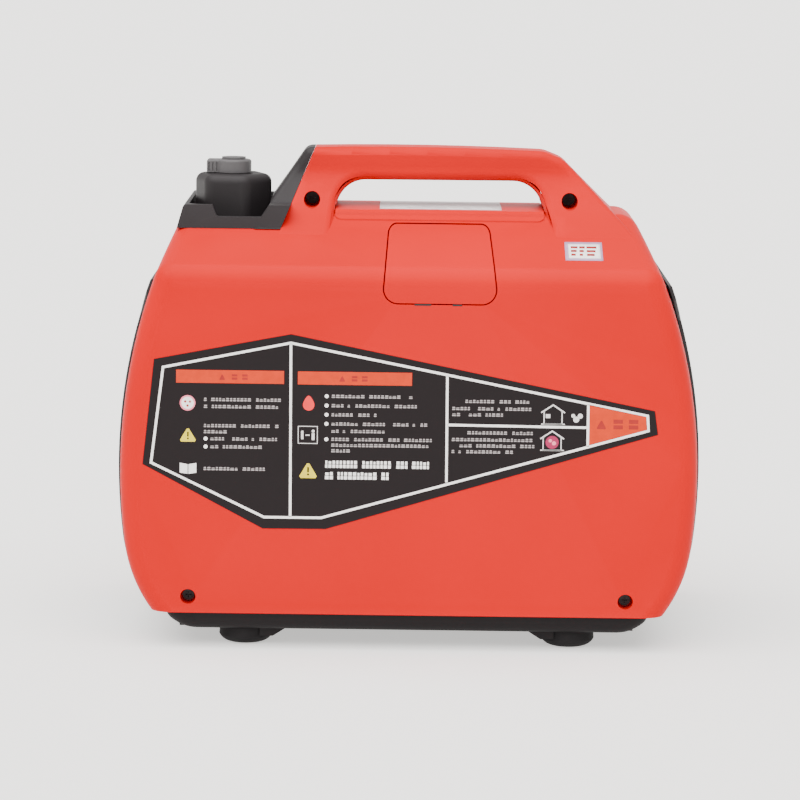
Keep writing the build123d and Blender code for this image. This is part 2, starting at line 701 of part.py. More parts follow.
def panel_inside():
    """Everything more than 12 mm behind the rear panel's outer face."""
    arcs, toe, top = end_curve(END_X + PANEL_PROUD - 12, PANEL_UPPER_R - 12, 330, 1)
    face = make_face(arcs + Polyline(top, (0, top[1]), (0, toe[1]), toe).edges())
    return along_y(face, -130, 130)


# ---------------------------------------------------------------- base
def base_pan():
    """The undertray: a shallow tub with up-curved ends, screw posts and cooling slots."""
    def tub(inset):
        x, z = 207 - inset, FOOT_HEIGHT + inset
        arc = [(x, 40), (x, 34), (x - 8, z + 6), (x - 28, z), (-x + 28, z), (-x + 8, z + 6), (-x, 34), (-x, 40)]
        side = make_face(Spline(arc[1], arc[2], arc[3], tangents=[(0, -1), (-1, 0)]).edges()
                         + Polyline(arc[3], arc[4]).edges()
                         + Spline(arc[4], arc[5], arc[6], tangents=[(-1, 0), (0, 1)]).edges()
                         + Polyline(arc[6], arc[7], arc[0], arc[1]).edges())
        form = along_y(side, -138 + inset, 138 - inset)
        low = [e for e in form.edges() if abs((e @ 0.5).Y) > 130 and (e @ 0.5).Z < 36 and (e @ 0).Z < 36]
        return form.solids()[0].fillet(9 - inset, low)

    pan = tub(0) - (tub(WALL) + block(-204, 204, -135, 135, 38, 60))
    for x, z in SCREW_SPOTS_LOW:
        for sign in (-1, 1):
            post = along_y(disc(x, z, 8), *sorted((sign * 108, sign * 128.5)))
            post += block(x - 8, x + 8, *sorted((sign * 108, sign * 128.5)), FOOT_HEIGHT + 1.5, z)
            pan += post - along_y(disc(x, z, 1.9), *sorted((sign * 112, sign * 130)))
            pan -= along_y(disc(x, z, 9.6), *sorted((sign * 128.7, sign * 150)))
    for x, y in MOUNT_SPOTS:
        pan += along_z(disc(x, y, 16), FOOT_HEIGHT + 1, FOOT_HEIGHT + 6)
    for i in range(7):
        x = 96 + 12 * i
        pan -= along_z(plate(x, x + 5, -70, 70, 2.4), 10, 30)
    for x, y in FOOT_SPOTS:
        side = 1 if x > 0 else -1
        ramp = outline((x, 16.5), (x, 7.5), (x - side * 24, 7.5), (x - side * 38, 16.5))
        pan += along_y(ramp, y - 20, y + 20) - along_z(disc(x, y, 23.6), 0, FOOT_HEIGHT)
        pan -= block(*sorted((x, x + side * 40)), y - 21, y + 21, 5, FOOT_HEIGHT)
        pan -= along_z(disc(x, y, 4), 10, 30)
    return pan


def rubber_feet():
    """Four domed feet, each with a stem pressed up into the undertray."""
    feet = []
    for x, y in FOOT_SPOTS:
        profile = make_face(
            Polyline((0, 0), (12, 0)).edges()
            + [ThreePointArc((12, 0), (19, 1.5), (23, 6))]
            + Polyline((23, 6), (22.4, FOOT_HEIGHT), (3.9, FOOT_HEIGHT), (3.9, 19.5), (0, 19.5), (0, 0)).edges()
        )
        feet.append(Pos(x, y, 0) * revolve(Plane.XZ * profile, Axis.Z))
    return feet


def casing_screws():
    """Cross-head screws: two through the handle and two low on each flank."""
    screws = []
    for x, z in SCREW_SPOTS_HANDLE:
        screws.append(screw(x, z, -9, 1, 1.5, 5.6))
    for sign in (-1, 1):
        for x, z in SCREW_SPOTS_LOW:
            screws.append(screw(x, z, sign * 132, -sign, 1.8, 5.0))
    return screws


def screw(x, z, seat_y, inward, shank_r, head_r):
    head = along_y(disc(x, z, head_r), *sorted((seat_y, seat_y - inward * 3.4)))
    shank = along_y(disc(x, z, shank_r), *sorted((seat_y, seat_y + inward * 16)))
    cross = plate(x - 2.6, x + 2.6, z - 0.6, z + 0.6, 0.3) + plate(x - 0.6, x + 0.6, z - 2.6, z + 2.6, 0.3)
    slot = along_y(cross, *sorted((seat_y - inward * 1.6, seat_y - inward * 4)))
    return head + shank - slot


# ---------------------------------------------------------------- engine
def round_y(radius, y0, y1, x=CRANK_X, z=CRANK_Z):
    return along_y(disc(x, z, radius), y0, y1)


def crankcase():
    """The cast crankcase and finned barrel in one piece, open on its far side."""
    deck_z = 222.0
    case = block(-32, 82, -52, 38, 46, 176)
    case = case.fillet(8, [e for e in case.edges() if e.length > 85 and (e @ 0.5).Y < 38])
    case += along_z(disc(CRANK_X, ROD_PLANE_Y, 30), 170, deck_z)
    for i in range(6):
        z = 181 + 7 * i
        case += along_z(plate(CRANK_X - 44, CRANK_X + 44, -46, 36, 12), z, z + 2.4)
    case -= block(-26, 76, -46, 39, 52, 170)
    case -= along_z(disc(CRANK_X, ROD_PLANE_Y, BORE_R), 160, 230)
    case += round_y(22, -58, -40)
    case -= round_y(16, -50, -39)
    case -= round_y(8.5, -60, -40)
    for x, y in MOUNT_SPOTS:
        case += along_z(disc(x, y, 12), 38, 47)
    neck = oil_neck_plane() * Circle(13)
    case += extrude(neck, amount=-66) - block(-31.9, 100, -60, 60, 0, 300)
    case -= extrude(oil_neck_plane() * Circle(10), amount=-62)
    return case.solids().sort_by(SortBy.VOLUME)[-1]


def oil_neck_plane():
    """The mouth of the oil filler, behind the maintenance cover."""
    return Plane(origin=(-78, 58, 98), z_dir=(-0.55, 0.72, 0.42))


def oil_filler_cap():
    """The oil cap with its dipstick tongue."""
    mouth = oil_neck_plane()
    cap = extrude(mouth * Circle(15), amount=7)
    for i in range(12):
        a = math.radians(30 * i)
        cap -= extrude(mouth * Pos(16.2 * math.cos(a), 16.2 * math.sin(a)) * Circle(2), amount=7)
    cap += extrude(mouth * RectangleRounded(22, 6, 2), amount=13)
    plug = extrude(mouth * Circle(9.6), amount=-10)
    stick = extrude(mouth * RectangleRounded(3, 1.6, 0.6), amount=-45)
    return cap + plug + stick


def crankcase_cover():
    cover = block(-32, 82, 38, 44, 46, 176)
    cover = cover.fillet(8, [e for e in cover.edges() if (e @ 0.5).Y > 39 and (e @ 0.5).Y < 43])
    cover += round_y(24, 43, 60)
    return cover - round_y(16, 37, 47) - round_y(8.5, 36, 62)


def main_bearings():
    """Two ball bearings as rings with a shaft-sized bore."""
    bearings = []
    for y0 in (-50, 37.8):
        bearings.append(along_y(ring(CRANK_X, CRANK_Z, 15.95, 7.55), y0, y0 + 9))
    return bearings


def crankshaft():
    """Two shafts with full-circle webs; the crankpin between them goes with the rod."""
    r = 7.5
    near = round_y(r, -56, ROD_PLANE_Y - 6.4) + round_y(34, ROD_PLANE_Y - 16, ROD_PLANE_Y - 6.4)
    far = round_y(34, ROD_PLANE_Y + 6.4, ROD_PLANE_Y + 16) + round_y(r, ROD_PLANE_Y + 6.4, 113)
    far += Pos(CRANK_X, 0, CRANK_Z) * along_y(RegularPolygon(11, 6), 105, 111)
    return near, far


def piston_pins():
    """The crankpin, and the wrist pin above it, in the rod's two eyes."""
    top = CRANK_Z + CRANK_THROW
    crankpin = along_y(disc(CRANK_X, top, 8), ROD_PLANE_Y - 6, ROD_PLANE_Y + 6)
    wrist = along_y(disc(CRANK_X, top + ROD_LENGTH, 5), ROD_PLANE_Y - 20, ROD_PLANE_Y + 20)
    return crankpin, wrist


def connecting_rod():
    low, high = CRANK_Z + CRANK_THROW, CRANK_Z + CRANK_THROW + ROD_LENGTH
    beam = outline((CRANK_X - 9, low), (CRANK_X + 9, low), (CRANK_X + 6, high), (CRANK_X - 6, high))
    rod = along_y(disc(CRANK_X, low, 13) + disc(CRANK_X, high, 9) + beam, ROD_PLANE_Y - 6, ROD_PLANE_Y + 6)
    web = outline((CRANK_X - 4, low + 16), (CRANK_X + 4, low + 16), (CRANK_X + 2.5, high - 12), (CRANK_X - 2.5, high - 12))
    for y0, y1 in ((-6.1, -2), (2, 6.1)):
        rod -= along_y(web, ROD_PLANE_Y + y0, ROD_PLANE_Y + y1)
    return rod - along_y(disc(CRANK_X, low, 8), -20, 20) - along_y(disc(CRANK_X, high, 5), -20, 20)


def piston():
    """The piston with its three ring bands standing proud of the grooves."""
    pin_z = CRANK_Z + CRANK_THROW + ROD_LENGTH
    crown = pin_z + 18
    body = along_z(disc(CRANK_X, ROD_PLANE_Y, BORE_R - 0.25), pin_z - 14, crown)
    body -= along_z(disc(CRANK_X, ROD_PLANE_Y, BORE_R - 4), pin_z - 15, crown - 5)
    for y0, y1 in ((-19, -7), (7, 19)):
        body += along_y(disc(CRANK_X, pin_z, 9), ROD_PLANE_Y + y0, ROD_PLANE_Y + y1)
    body -= along_y(disc(CRANK_X, pin_z, 5), -40, 30)
    for dz in (3, 6.5, 10):
        groove = ring(CRANK_X, ROD_PLANE_Y, 30, BORE_R - 1.2)
        body -= along_z(groove, crown - dz - 1.4, crown - dz)
    rings = [
        along_z(ring(CRANK_X, ROD_PLANE_Y, BORE_R - 0.1, BORE_R - 1.2), crown - dz - 1.4, crown - dz)
        for dz in (3, 6.5, 10)
    ]
    return body + rings[0] + rings[1] + rings[2]


PLUG_PLANE = Plane(origin=(CRANK_X, -20, 238), z_dir=(0, -0.72, 0.69))


def cylinder_head():
    """The finned head with intake and exhaust stubs and the plug's threaded boss."""
    head = along_z(plate(CRANK_X - 36, CRANK_X + 36, -42, 34, 10), 222, 252)
    for i in range(3):
        z = 226 + 8 * i
        head += along_z(plate(CRANK_X - 44, CRANK_X + 44, -48, 38, 12), z, z + 2.4)
    head += along_x(disc(-5, 237, 13), CRANK_X - 48, CRANK_X - 30)
    head += along_x(disc(-5, 237, 13), CRANK_X + 30, CRANK_X + 48)
    head -= along_x(disc(-5, 237, 8), CRANK_X - 50, CRANK_X - 20)
    head -= along_x(disc(-5, 237, 8), CRANK_X + 20, CRANK_X + 50)
    head -= Pos(CRANK_X, ROD_PLANE_Y, 222) * Sphere(17)
    head -= extrude(PLUG_PLANE * Circle(12), amount=40)
    return head - extrude(PLUG_PLANE * Circle(5), amount=-18)


def spark_plug():
    p = PLUG_PLANE
    plug = extrude(p * Circle(4.95), amount=-14) + extrude(p * Circle(8), amount=3)
    plug += extrude(p * RegularPolygon(9.3, 6), amount=10)
    plug += extrude(p * Circle(5.2), amount=32) + extrude(p * Circle(3.2), amount=40)
    return plug


def spark_plug_boot():
    p = PLUG_PLANE
    boot = extrude(p.offset(13) * Circle(10), amount=34)
    boot = fillet(boot.edges().sort_by(Axis.Z)[-1], 4)
    boot -= extrude(p * Circle(5.4), amount=32.2) + extrude(p * Circle(3.4), amount=40.2)
    boot -= extrude(p.offset(41.9) * Circle(3.7), amount=10)
    return boot


def ignition_coil():
    """The flywheel coil with its laminated shoe and the lead up to the plug boot."""
    coil = along_y(plate(CRANK_X - 22, CRANK_X + 14, 179, 200, 4), 56, 78)
    shoe = along_y(plate(CRANK_X - 30, CRANK_X + 22, 176, 180, 1), 60, 74)
    route = [(CRANK_X - 18, 66, 199), (CRANK_X - 18, 66, 246), (CRANK_X - 40, 40, 290), (CRANK_X - 16, -30, 304)]
    route += [PLUG_PLANE.origin + PLUG_PLANE.z_dir * 66, PLUG_PLANE.origin + PLUG_PLANE.z_dir * 42]
    return coil + shoe + tube(route, 3.5, [12, 12, 12, 10])


def rocker_cover():
    form = along_z(plate(CRANK_X - 28, CRANK_X + 28, -16, 32, 10), 252, 280)
    form = form.solids()[0].fillet(5, [e for e in form.edges() if (e @ 0.5).Z > 279])
    form -= along_z(plate(CRANK_X - 25, CRANK_X + 25, -13, 29, 8), 251, 277)
    breather = along_z(disc(CRANK_X - 12, 14, 5), 279, 288)
    return form + breather


def engine_mounts():
    return [along_z(disc(x, y, 13), 21, 38) for x, y in MOUNT_SPOTS]


# ---------------------------------------------------------------- alternator, fan and recoil starter
def stator():
    """A twelve-pole wound core on the crankcase cover."""
    core = ring(CRANK_X, CRANK_Z, 30, 24.2)
    for i in range(12):
        arm = Pos(CRANK_X, CRANK_Z) * Rot(0, 0, 30 * i) * (Pos(38, 0) * Rectangle(20, 6))
        tip = Pos(CRANK_X, CRANK_Z) * Rot(0, 0, 30 * i) * (Pos(50, 0) * RectangleRounded(4, 21, 1))
        core += arm + tip
    body = along_y(core, 53, 75)
    for i in range(12):
        coil = Rot(0, 0, 30 * i) * (Pos(39, 0) * RectangleRounded(15, 12.5, 2))
        body += along_y(Pos(CRANK_X, CRANK_Z) * coil, 51, 77)
    return body + round_y(30, 44, 53.5) - round_y(24.2, 40, 80)


def rotor_bell():
    bell = round_y(66, 50, 88) - round_y(57, 49, 82)
    bell += round_y(15, 66, 88)
    return bell - round_y(7.5, 40, 100)


def rotor_magnets():
    magnets = []
    band = ring(CRANK_X, CRANK_Z, 57, 53.6)
    for i in range(12):
        wedge = Pos(CRANK_X, CRANK_Z) * Rot(0, 0, 30 * i) * (Pos(55, 0) * Rectangle(20, 24))
        magnets.append(along_y(band & wedge, 51, 77))
    return magnets


def fan_and_starter_cup():
    """The centrifugal fan bolted to the rotor, with the steel cup that the pawls drive."""
    fan = round_y(72, 88, 90.5)
    for i in range(14):
        turn = Rot(0, 0, 360 / 14 * i)
        blade = Pos(CRANK_X, CRANK_Z) * turn * (Pos(57, 0) * Rot(0, 0, 25) * RectangleRounded(30, 2.4, 1))
        fan += along_y(blade, 90, 104)
    fan += round_y(30, 90, 109) - round_y(26, 96, 110)
    return fan - round_y(7.5, 80, 120)


def fan_shroud():
    """The duct round the rotor and fan, open at the top so that the air sweeps the barrel."""
    tub = round_y(79, 54, 111) - round_y(76, 53, 112)
    tub += round_y(79, 54, 57) - round_y(69, 53, 58)
    tub -= block(-38, 60, 40, 108, 160, 200)
    return tub.solids().sort_by(SortBy.VOLUME)[-1]


def recoil_housing():
    """The pressed cover over the pulley, with windows for the cooling air."""
    cover = round_y(79, 111, 114) - round_y(56, 110, 115)
    cover += round_y(59, 111, 137.5) - round_y(56, 110, 134.5)
    for i in range(6):
        window = Pos(CRANK_X, CRANK_Z) * Rot(0, 0, 60 * i + 30) * (Pos(45, 0) * RectangleRounded(12, 22, 4))
        cover -= along_y(window, 134, 140)
    cover += round_y(6, 114, 135)
    exit_slot = block(GRIP_X - 4.5, GRIP_X + 4.5, 117, 127, CRANK_Z + 30, CRANK_Z + 90)
    return cover - exit_slot


def recoil_pulley():
    sheave = revolve(
        Plane.XY
        * make_face(
            Polyline((6.2, 116), (41, 116), (41, 118.5), (33, 119), (33, 125), (41, 125.5), (41, 127.6), (6.2, 127.6), (6.2, 116)).edges()
        ),
        Axis.Y,
    )
    sheave = Pos(CRANK_X, 0, CRANK_Z) * sheave
    for i in range(3):
        hole = Pos(CRANK_X, CRANK_Z) * Rot(0, 0, 120 * i) * Pos(20, 0) * Circle(5)
        sheave -= along_y(hole, 110, 130)
    return sheave


def recoil_spring():
    """The flat return spring as a spiral strip."""
    turns, r0, pitch, thick = 4, 12.0, 4.2, 0.8
    def spiral(extra):
        steps = turns * 12
        return [
            (
                CRANK_X + (r0 + extra + pitch * i / 12) * math.cos(math.tau * i / 12),
                CRANK_Z + (r0 + extra + pitch * i / 12) * math.sin(math.tau * i / 12),
            )
            for i in range(steps + 1)
        ]
    inner, outer = spiral(0), spiral(thick)
    face = make_face(
        [Spline(*inner), Line(inner[-1], outer[-1]), Spline(*reversed(outer)), Line(outer[0], inner[0])]
    )
    return along_y(face, 128.2, 133.8)


def starter_rope():
    """One wrap on the pulley, and the run up through the guide into the grip."""
    wrap = Pos(CRANK_X, 122, CRANK_Z) * Rot(90, 0, 0) * Torus(35.5, 2.1)
    rise = [(GRIP_X, 122, CRANK_Z + 2), (GRIP_X, 122, 155), (GRIP_X, 112, 205)]
    run = tube(rise + [(GRIP_X, 112, GRIP_Z), (GRIP_X, 138, GRIP_Z)], 2.1, [20, 20, 3.2])
    return wrap, run


def starter_grip():
    """The pull handle: a waisted bar with a hollow for the rope's knot."""
    half = 46.0
    bar = make_face(
        [
            Spline((GRIP_X - half, GRIP_Z + 9), (GRIP_X, GRIP_Z + 12.5), (GRIP_X + half, GRIP_Z + 9)),
            Line((GRIP_X + half, GRIP_Z + 9), (GRIP_X + half, GRIP_Z - 9)),
            Spline((GRIP_X + half, GRIP_Z - 9), (GRIP_X, GRIP_Z - 12.5), (GRIP_X - half, GRIP_Z - 9)),
            Line((GRIP_X - half, GRIP_Z - 9), (GRIP_X - half, GRIP_Z + 9)),
        ]
    )
    form = along_y(bar, 127, 146).solids()[0]
    form = form.fillet(6, [e for e in form.edges() if (e @ 0.5).Y > 145.9 or abs((e @ 0).Y - (e @ 1).Y) > 5])
    form += along_y(disc(GRIP_X, GRIP_Z, 9), 121.8, 128)
    form -= along_y(disc(GRIP_X, GRIP_Z, 2.4), 110, 139)
    return form


# ---------------------------------------------------------------- intake, exhaust and inverter
def intake_manifold():
    return along_x(ring(-5, 237, 13, 8), -34, -23.2) + along_x(ring(-5, 237, 18, 8), -38, -34)


def carburettor():
    """Body, float bowl and the throttle motor on top."""
    body = along_x(disc(-5, 237, 15), -74, -38) + block(-70, -42, -22, 12, 222, 250)
    body += along_z(disc(-56, -5, 14), 200, 224)
    body += along_z(plate(-70, -42, -20, 10, 3), 250, 268)
    body += along_y(disc(-68, 222, 2.5), -24, -15)
    body += along_x(disc(-24, 222, 3.3), -70.5, -56)
    return body - along_x(disc(-5, 237, 8), -80, -30)


def choke_slider():
    """The choke lever's finger tab and its rod to the carburettor."""
    tab = along_y(plate(-50, -40, 222, 238, 3), 145.3, 148.4)
    tab = tab.solids()[0].fillet(1.2, [e for e in tab.edges() if (e @ 0.5).Y > 148.3])
    stem = block(-47.5, -42.5, 139, 146, 227, 233)
    guide = block(-51, -39, 136, 139, 224, 236)
    return tab + stem + guide


def air_cleaner():
    """The filter case with a ribbed lid, facing the maintenance opening, and its duct."""
    case = along_y(plate(-150, -80, 128, 236, 8), 60, 126)
    for i in range(5):
        x = -142 + 13 * i
        case += along_y(plate(x, x + 4, 136, 196, 1.5), 125, 128.5)
    duct = tube([(-112, 62, 214), (-112, -5, 214), (-96, -5, 237), (-74, -5, 237)], 9, [16, 12])
    return case, duct


def muffler_box(inset):
    side = plate(120 + inset, 206 - inset, 96 + inset, 262 - inset, 22 - inset)
    return along_y(side, -92 + inset, 70 - inset)


def muffler():
    """The silencer with seams, its inlet pipe and the tail pipe with a spark screen cup."""
    shell = muffler_box(0) - muffler_box(1.5)
    for y in (-92, 68.5):
        shell += along_y(plate(117, 209, 93, 265, 24) - plate(121, 205, 97, 261, 21), y, y + 1.5)
    y, z = EXHAUST_SPOT
    shell += along_x(disc(y, z, 12), 204, 238)
    shell -= along_x(disc(y, z, 9.5), 203, 226)
    shell -= along_x(disc(y, z, 10), 225, 240)
    return shell - along_x(disc(-5, 237, 9), 115, 122)


def exhaust_pipe():
    pipe = along_x(ring(-5, 237, 11, 8.5), 73.2, 119.9)
    return pipe + along_x(ring(-5, 237, 20, 8.5), 73.2, 78)


def inverter_module():
    """The finned inverter case behind the control panel."""
    body = block(-192, -156, -100, 52, 56, 162)
    for i in range(13):
        y = -98 + 12.2 * i
        body += block(-156.5, -146, y, y + 2.4, 58, 160)
    return body


# ---------------------------------------------------------------- write every piece
def main():
    os.makedirs("parts", exist_ok=True)
    save("near_side_shell", near_shell())
    save("far_side_shell", far_shell())
    save("top_deck_cover", deck_cover())
    save("fuel_cap_surround", fuel_cap_surround())
    save("front_frame", front_frame())
    save("control_panel", control_panel())
    save("rear_panel", rear_panel())
    save("base_pan", base_pan())
    save("rubber_feet", *rubber_feet())
    save("spark_plug_hatch", spark_plug_hatch())
    save("maintenance_cover", maintenance_cover())
    save("maintenance_latch", maintenance_latch())
    save("maintenance_hinge_pin", cover_hinge_pin())
    save("warning_label", warning_label())
    save("casing_screws", *casing_screws())
    save("fuel_tank", fuel_tank())
    save("fuel_cap_gasket", fuel_cap_gasket())
    save("fuel_cap", fuel_cap())
    save("vent_lever", vent_lever())
    save("fuel_tap_and_hose", *fuel_tap_and_hose())
    save("engine_mounts", *engine_mounts())
    save("crankcase", crankcase())
    save("crankcase_cover", crankcase_cover())
    save("main_bearings", *main_bearings())
    save("crankshaft", *crankshaft())
    save("piston_pins", *piston_pins())
    save("connecting_rod", connecting_rod())
    save("piston", piston())
    save("cylinder_head", cylinder_head())
    save("rocker_cover", rocker_cover())
    save("spark_plug", spark_plug())
    save("spark_plug_boot", spark_plug_boot())
    save("ignition_coil_and_lead", ignition_coil())
    save("stator", stator())
    save("rotor_bell", rotor_bell())
    save("rotor_magnets", *rotor_magnets())
    save("fan_and_starter_cup", fan_and_starter_cup())
    save("fan_shroud", fan_shroud())
    save("recoil_housing", recoil_housing())
    save("recoil_pulley", recoil_pulley())
    save("recoil_spring", recoil_spring())
    save("starter_rope", *starter_rope())
    save("starter_grip", starter_grip())
    save("starter_bezel", starter_bezel())
    save("intake_manifold", intake_manifold())
    save("carburettor", carburettor())
    save("air_cleaner", *air_cleaner())
    save("muffler", muffler())
    save("exhaust_pipe", exhaust_pipe())
    save("inverter_module", inverter_module())
    save("oil_filler_cap", oil_filler_cap())
    save("ac_outlets", *[ac_outlet(y, z) for y, z in AC_SPOTS])
    save("dc_outlet", *dc_outlet())
    save("engine_switch", engine_switch())
    save("eco_switch", eco_switch())
    save("breaker_button", breaker_button())
    save("indicator_lamps", *indicator_lamps())
    jacks, earth = panel_terminals()
    save("panel_terminals", *jacks, earth)
    save("choke_slider", choke_slider())


main()
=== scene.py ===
"""Looks for the inverter generator: materials, printed labels, trim, studio and camera."""

import json
import math

import bmesh
import bpy
from mathutils import Matrix, Vector


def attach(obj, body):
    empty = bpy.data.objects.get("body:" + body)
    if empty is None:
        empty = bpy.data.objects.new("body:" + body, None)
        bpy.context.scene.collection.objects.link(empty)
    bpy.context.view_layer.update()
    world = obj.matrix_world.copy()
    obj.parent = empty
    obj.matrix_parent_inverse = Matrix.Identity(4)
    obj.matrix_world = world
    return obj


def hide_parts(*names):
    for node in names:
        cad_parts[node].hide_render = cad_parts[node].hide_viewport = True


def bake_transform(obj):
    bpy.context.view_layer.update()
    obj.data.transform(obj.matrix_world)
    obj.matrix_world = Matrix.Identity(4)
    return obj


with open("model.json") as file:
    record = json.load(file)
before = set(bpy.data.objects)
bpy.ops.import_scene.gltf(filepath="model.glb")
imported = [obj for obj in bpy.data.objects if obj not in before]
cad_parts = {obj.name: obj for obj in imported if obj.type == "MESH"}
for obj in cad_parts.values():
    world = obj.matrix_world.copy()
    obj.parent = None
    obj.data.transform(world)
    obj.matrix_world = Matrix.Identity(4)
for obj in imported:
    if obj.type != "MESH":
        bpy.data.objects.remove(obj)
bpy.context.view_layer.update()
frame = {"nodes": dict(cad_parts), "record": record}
NODES = frame["nodes"]


# ---------------------------------------------------------------- material helpers
class Graph:
    """A short way to build one material's node tree."""

    def __init__(self, name):
        self.material = bpy.data.materials.new(name)
        self.material.use_nodes = True
        self.tree = self.material.node_tree
        self.shader = self.tree.nodes["Principled BSDF"]
        self.coords = self.add("ShaderNodeTexCoord").outputs["Object"]

    def add(self, kind, **settings):
        node = self.tree.nodes.new(kind)
        for key, value in settings.items():
            setattr(node, key, value)
        return node

    def link(self, source, target):
        self.tree.links.new(source, target)

    def noise(self, scale, detail=3.0, rough=0.5, stretch=None):
        node = self.add("ShaderNodeTexNoise")
        node.inputs["Scale"].default_value = scale
        node.inputs["Detail"].default_value = detail
        node.inputs["Roughness"].default_value = rough
        self.link(self.stretched(stretch), node.inputs["Vector"])
        return node.outputs["Fac"]

    def cells(self, scale, stretch=None):
        node = self.add("ShaderNodeTexVoronoi")
        node.inputs["Scale"].default_value = scale
        self.link(self.stretched(stretch), node.inputs["Vector"])
        return node.outputs["Distance"]

    def stretched(self, stretch):
        if stretch is None:
            return self.coords
        node = self.add("ShaderNodeMapping")
        node.inputs["Scale"].default_value = stretch
        self.link(self.coords, node.inputs["Vector"])
        return node.outputs["Vector"]

    def ramp(self, source, low, high, out_low=0.0, out_high=1.0):
        node = self.add("ShaderNodeMapRange")
        for key, value in (("From Min", low), ("From Max", high), ("To Min", out_low), ("To Max", out_high)):
            node.inputs[key].default_value = value
        self.link(source, node.inputs["Value"])
        return node.outputs["Result"]

    def mix(self, factor, first, second):
        node = self.add("ShaderNodeMix", data_type="RGBA")
        if isinstance(factor, (int, float)):
            node.inputs["Factor"].default_value = factor
        else:
            self.link(factor, node.inputs["Factor"])
        for key, value in (("A", first), ("B", second)):
            socket = [s for s in node.inputs if s.name == key and s.type == "RGBA"][0]
            if isinstance(value, (tuple, list)):
                socket.default_value = (*value[:3], 1.0)
            else:
                self.link(value, socket)
        return [s for s in node.outputs if s.type == "RGBA"][0]

    def sum(self, first, second, weight=1.0):
        node = self.add("ShaderNodeMath", operation="MULTIPLY_ADD")
        self.link(second, node.inputs[0])
        node.inputs[1].default_value = weight
        self.link(first, node.inputs[2])
        return node.outputs[0]

    def bump(self, height, strength, distance):
        node = self.add("ShaderNodeBump")
        node.inputs["Strength"].default_value = strength
        node.inputs["Distance"].default_value = distance
        self.link(height, node.inputs["Height"])
        self.link(node.outputs["Normal"], self.shader.inputs["Normal"])

    def painted_edge_highlight_mask(self, low=0.52, high=0.62):
        """Where the surface turns sharply outwards: the mask for a painted highlight on convex edges."""
        node = self.add("ShaderNodeNewGeometry")
        return self.ramp(node.outputs["Pointiness"], low, high)

    def finish(self, color, roughness, metallic=0.0, **extra):
        main = (("Base Color", color), ("Roughness", roughness), ("Metallic", metallic))
        for key, value in (*main, *extra.items()):
            socket = self.shader.inputs[key.replace("_", " ")]
            if hasattr(value, "is_linked") or hasattr(value, "links"):
                self.link(value, socket)
            elif isinstance(value, (tuple, list)):
                socket.default_value = (*value[:3], 1.0)
            else:
                socket.default_value = value
        return self.material


def plastic(name, color, rough, grain=900.0, depth=0.00012, strength=0.25, spread=0.06, shine=0.3):
    """Moulded plastic: fine grain, cloudy colour, roughness that varies a little, and a painted highlight on sharp
    convex edges.
    """
    g = Graph(name)
    cloud = g.noise(9.0, 4.0)
    speck = g.noise(grain * 0.5, 2.0)
    dark = [c * (1 - spread) for c in color]
    light = [min(1.0, c * (1 + spread)) for c in color]
    tone = g.mix(g.ramp(cloud, 0.35, 0.65), dark, light)
    # Painted highlight: the colour is made lighter on sharp convex edges.
    painted_highlight_tone = [min(1.0, c * 1.25 + 0.01) for c in color]
    tone = g.mix(g.ramp(g.painted_edge_highlight_mask(), 0, 1, 0, 0.25), tone, painted_highlight_tone)
    g.bump(g.sum(g.cells(grain), speck, 0.5), strength, depth)
    roughness = g.ramp(g.sum(cloud, speck, 0.4), 0.4, 1.0, rough - 0.05, rough + 0.07)
    return g.finish(tone, roughness, Specular_IOR_Level=shine)


def metal(name, color, rough, grain=(1, 1, 1), scale=420.0, strength=0.25, cast=False, tint=None):
    """Bare metal: brushed along one direction, or pitted like a casting."""
    g = Graph(name)
    streak = g.noise(scale, 5.0, 0.6, grain)
    cloud = g.noise(14.0, 4.0)
    dark = [c * 0.78 for c in color]
    tone = g.mix(g.ramp(cloud, 0.3, 0.7), dark, color)
    if tint:
        tone = g.mix(g.ramp(g.noise(6.0, 5.0), 0.42, 0.62), tone, tint)
    height = g.sum(g.cells(650.0), streak, 0.8) if cast else streak
    g.bump(height, strength, 0.00018 if cast else 0.00006)
    return g.finish(tone, g.ramp(streak, 0.3, 0.7, rough - 0.08, rough + 0.1), 1.0)


def rubber(name, color, rough=0.7):
    g = Graph(name)
    dust = g.ramp(g.noise(18.0, 6.0), 0.5, 0.75, 0.0, 0.25)
    tone = g.mix(dust, color, [c + 0.012 for c in color])
    g.bump(g.noise(700.0, 3.0), 0.3, 0.0001)
    return g.finish(tone, g.ramp(g.noise(30.0), 0.3, 0.7, rough - 0.05, rough + 0.08), Specular_IOR_Level=0.16)


def ink(name, color, rough=0.42):
    """Print on film: faint mottle in the ink, and a slight texture from the film."""
    g = Graph(name)
    mottle = g.ramp(g.noise(160.0, 3.0), 0.35, 0.65)
    tone = g.mix(mottle, [c * 0.93 for c in color], [min(1.0, c * 1.05) for c in color])
    g.bump(g.noise(500.0, 2.0), 0.06, 0.00005)
    return g.finish(tone, g.ramp(mottle, 0, 1, rough, rough + 0.06), Specular_IOR_Level=0.15)


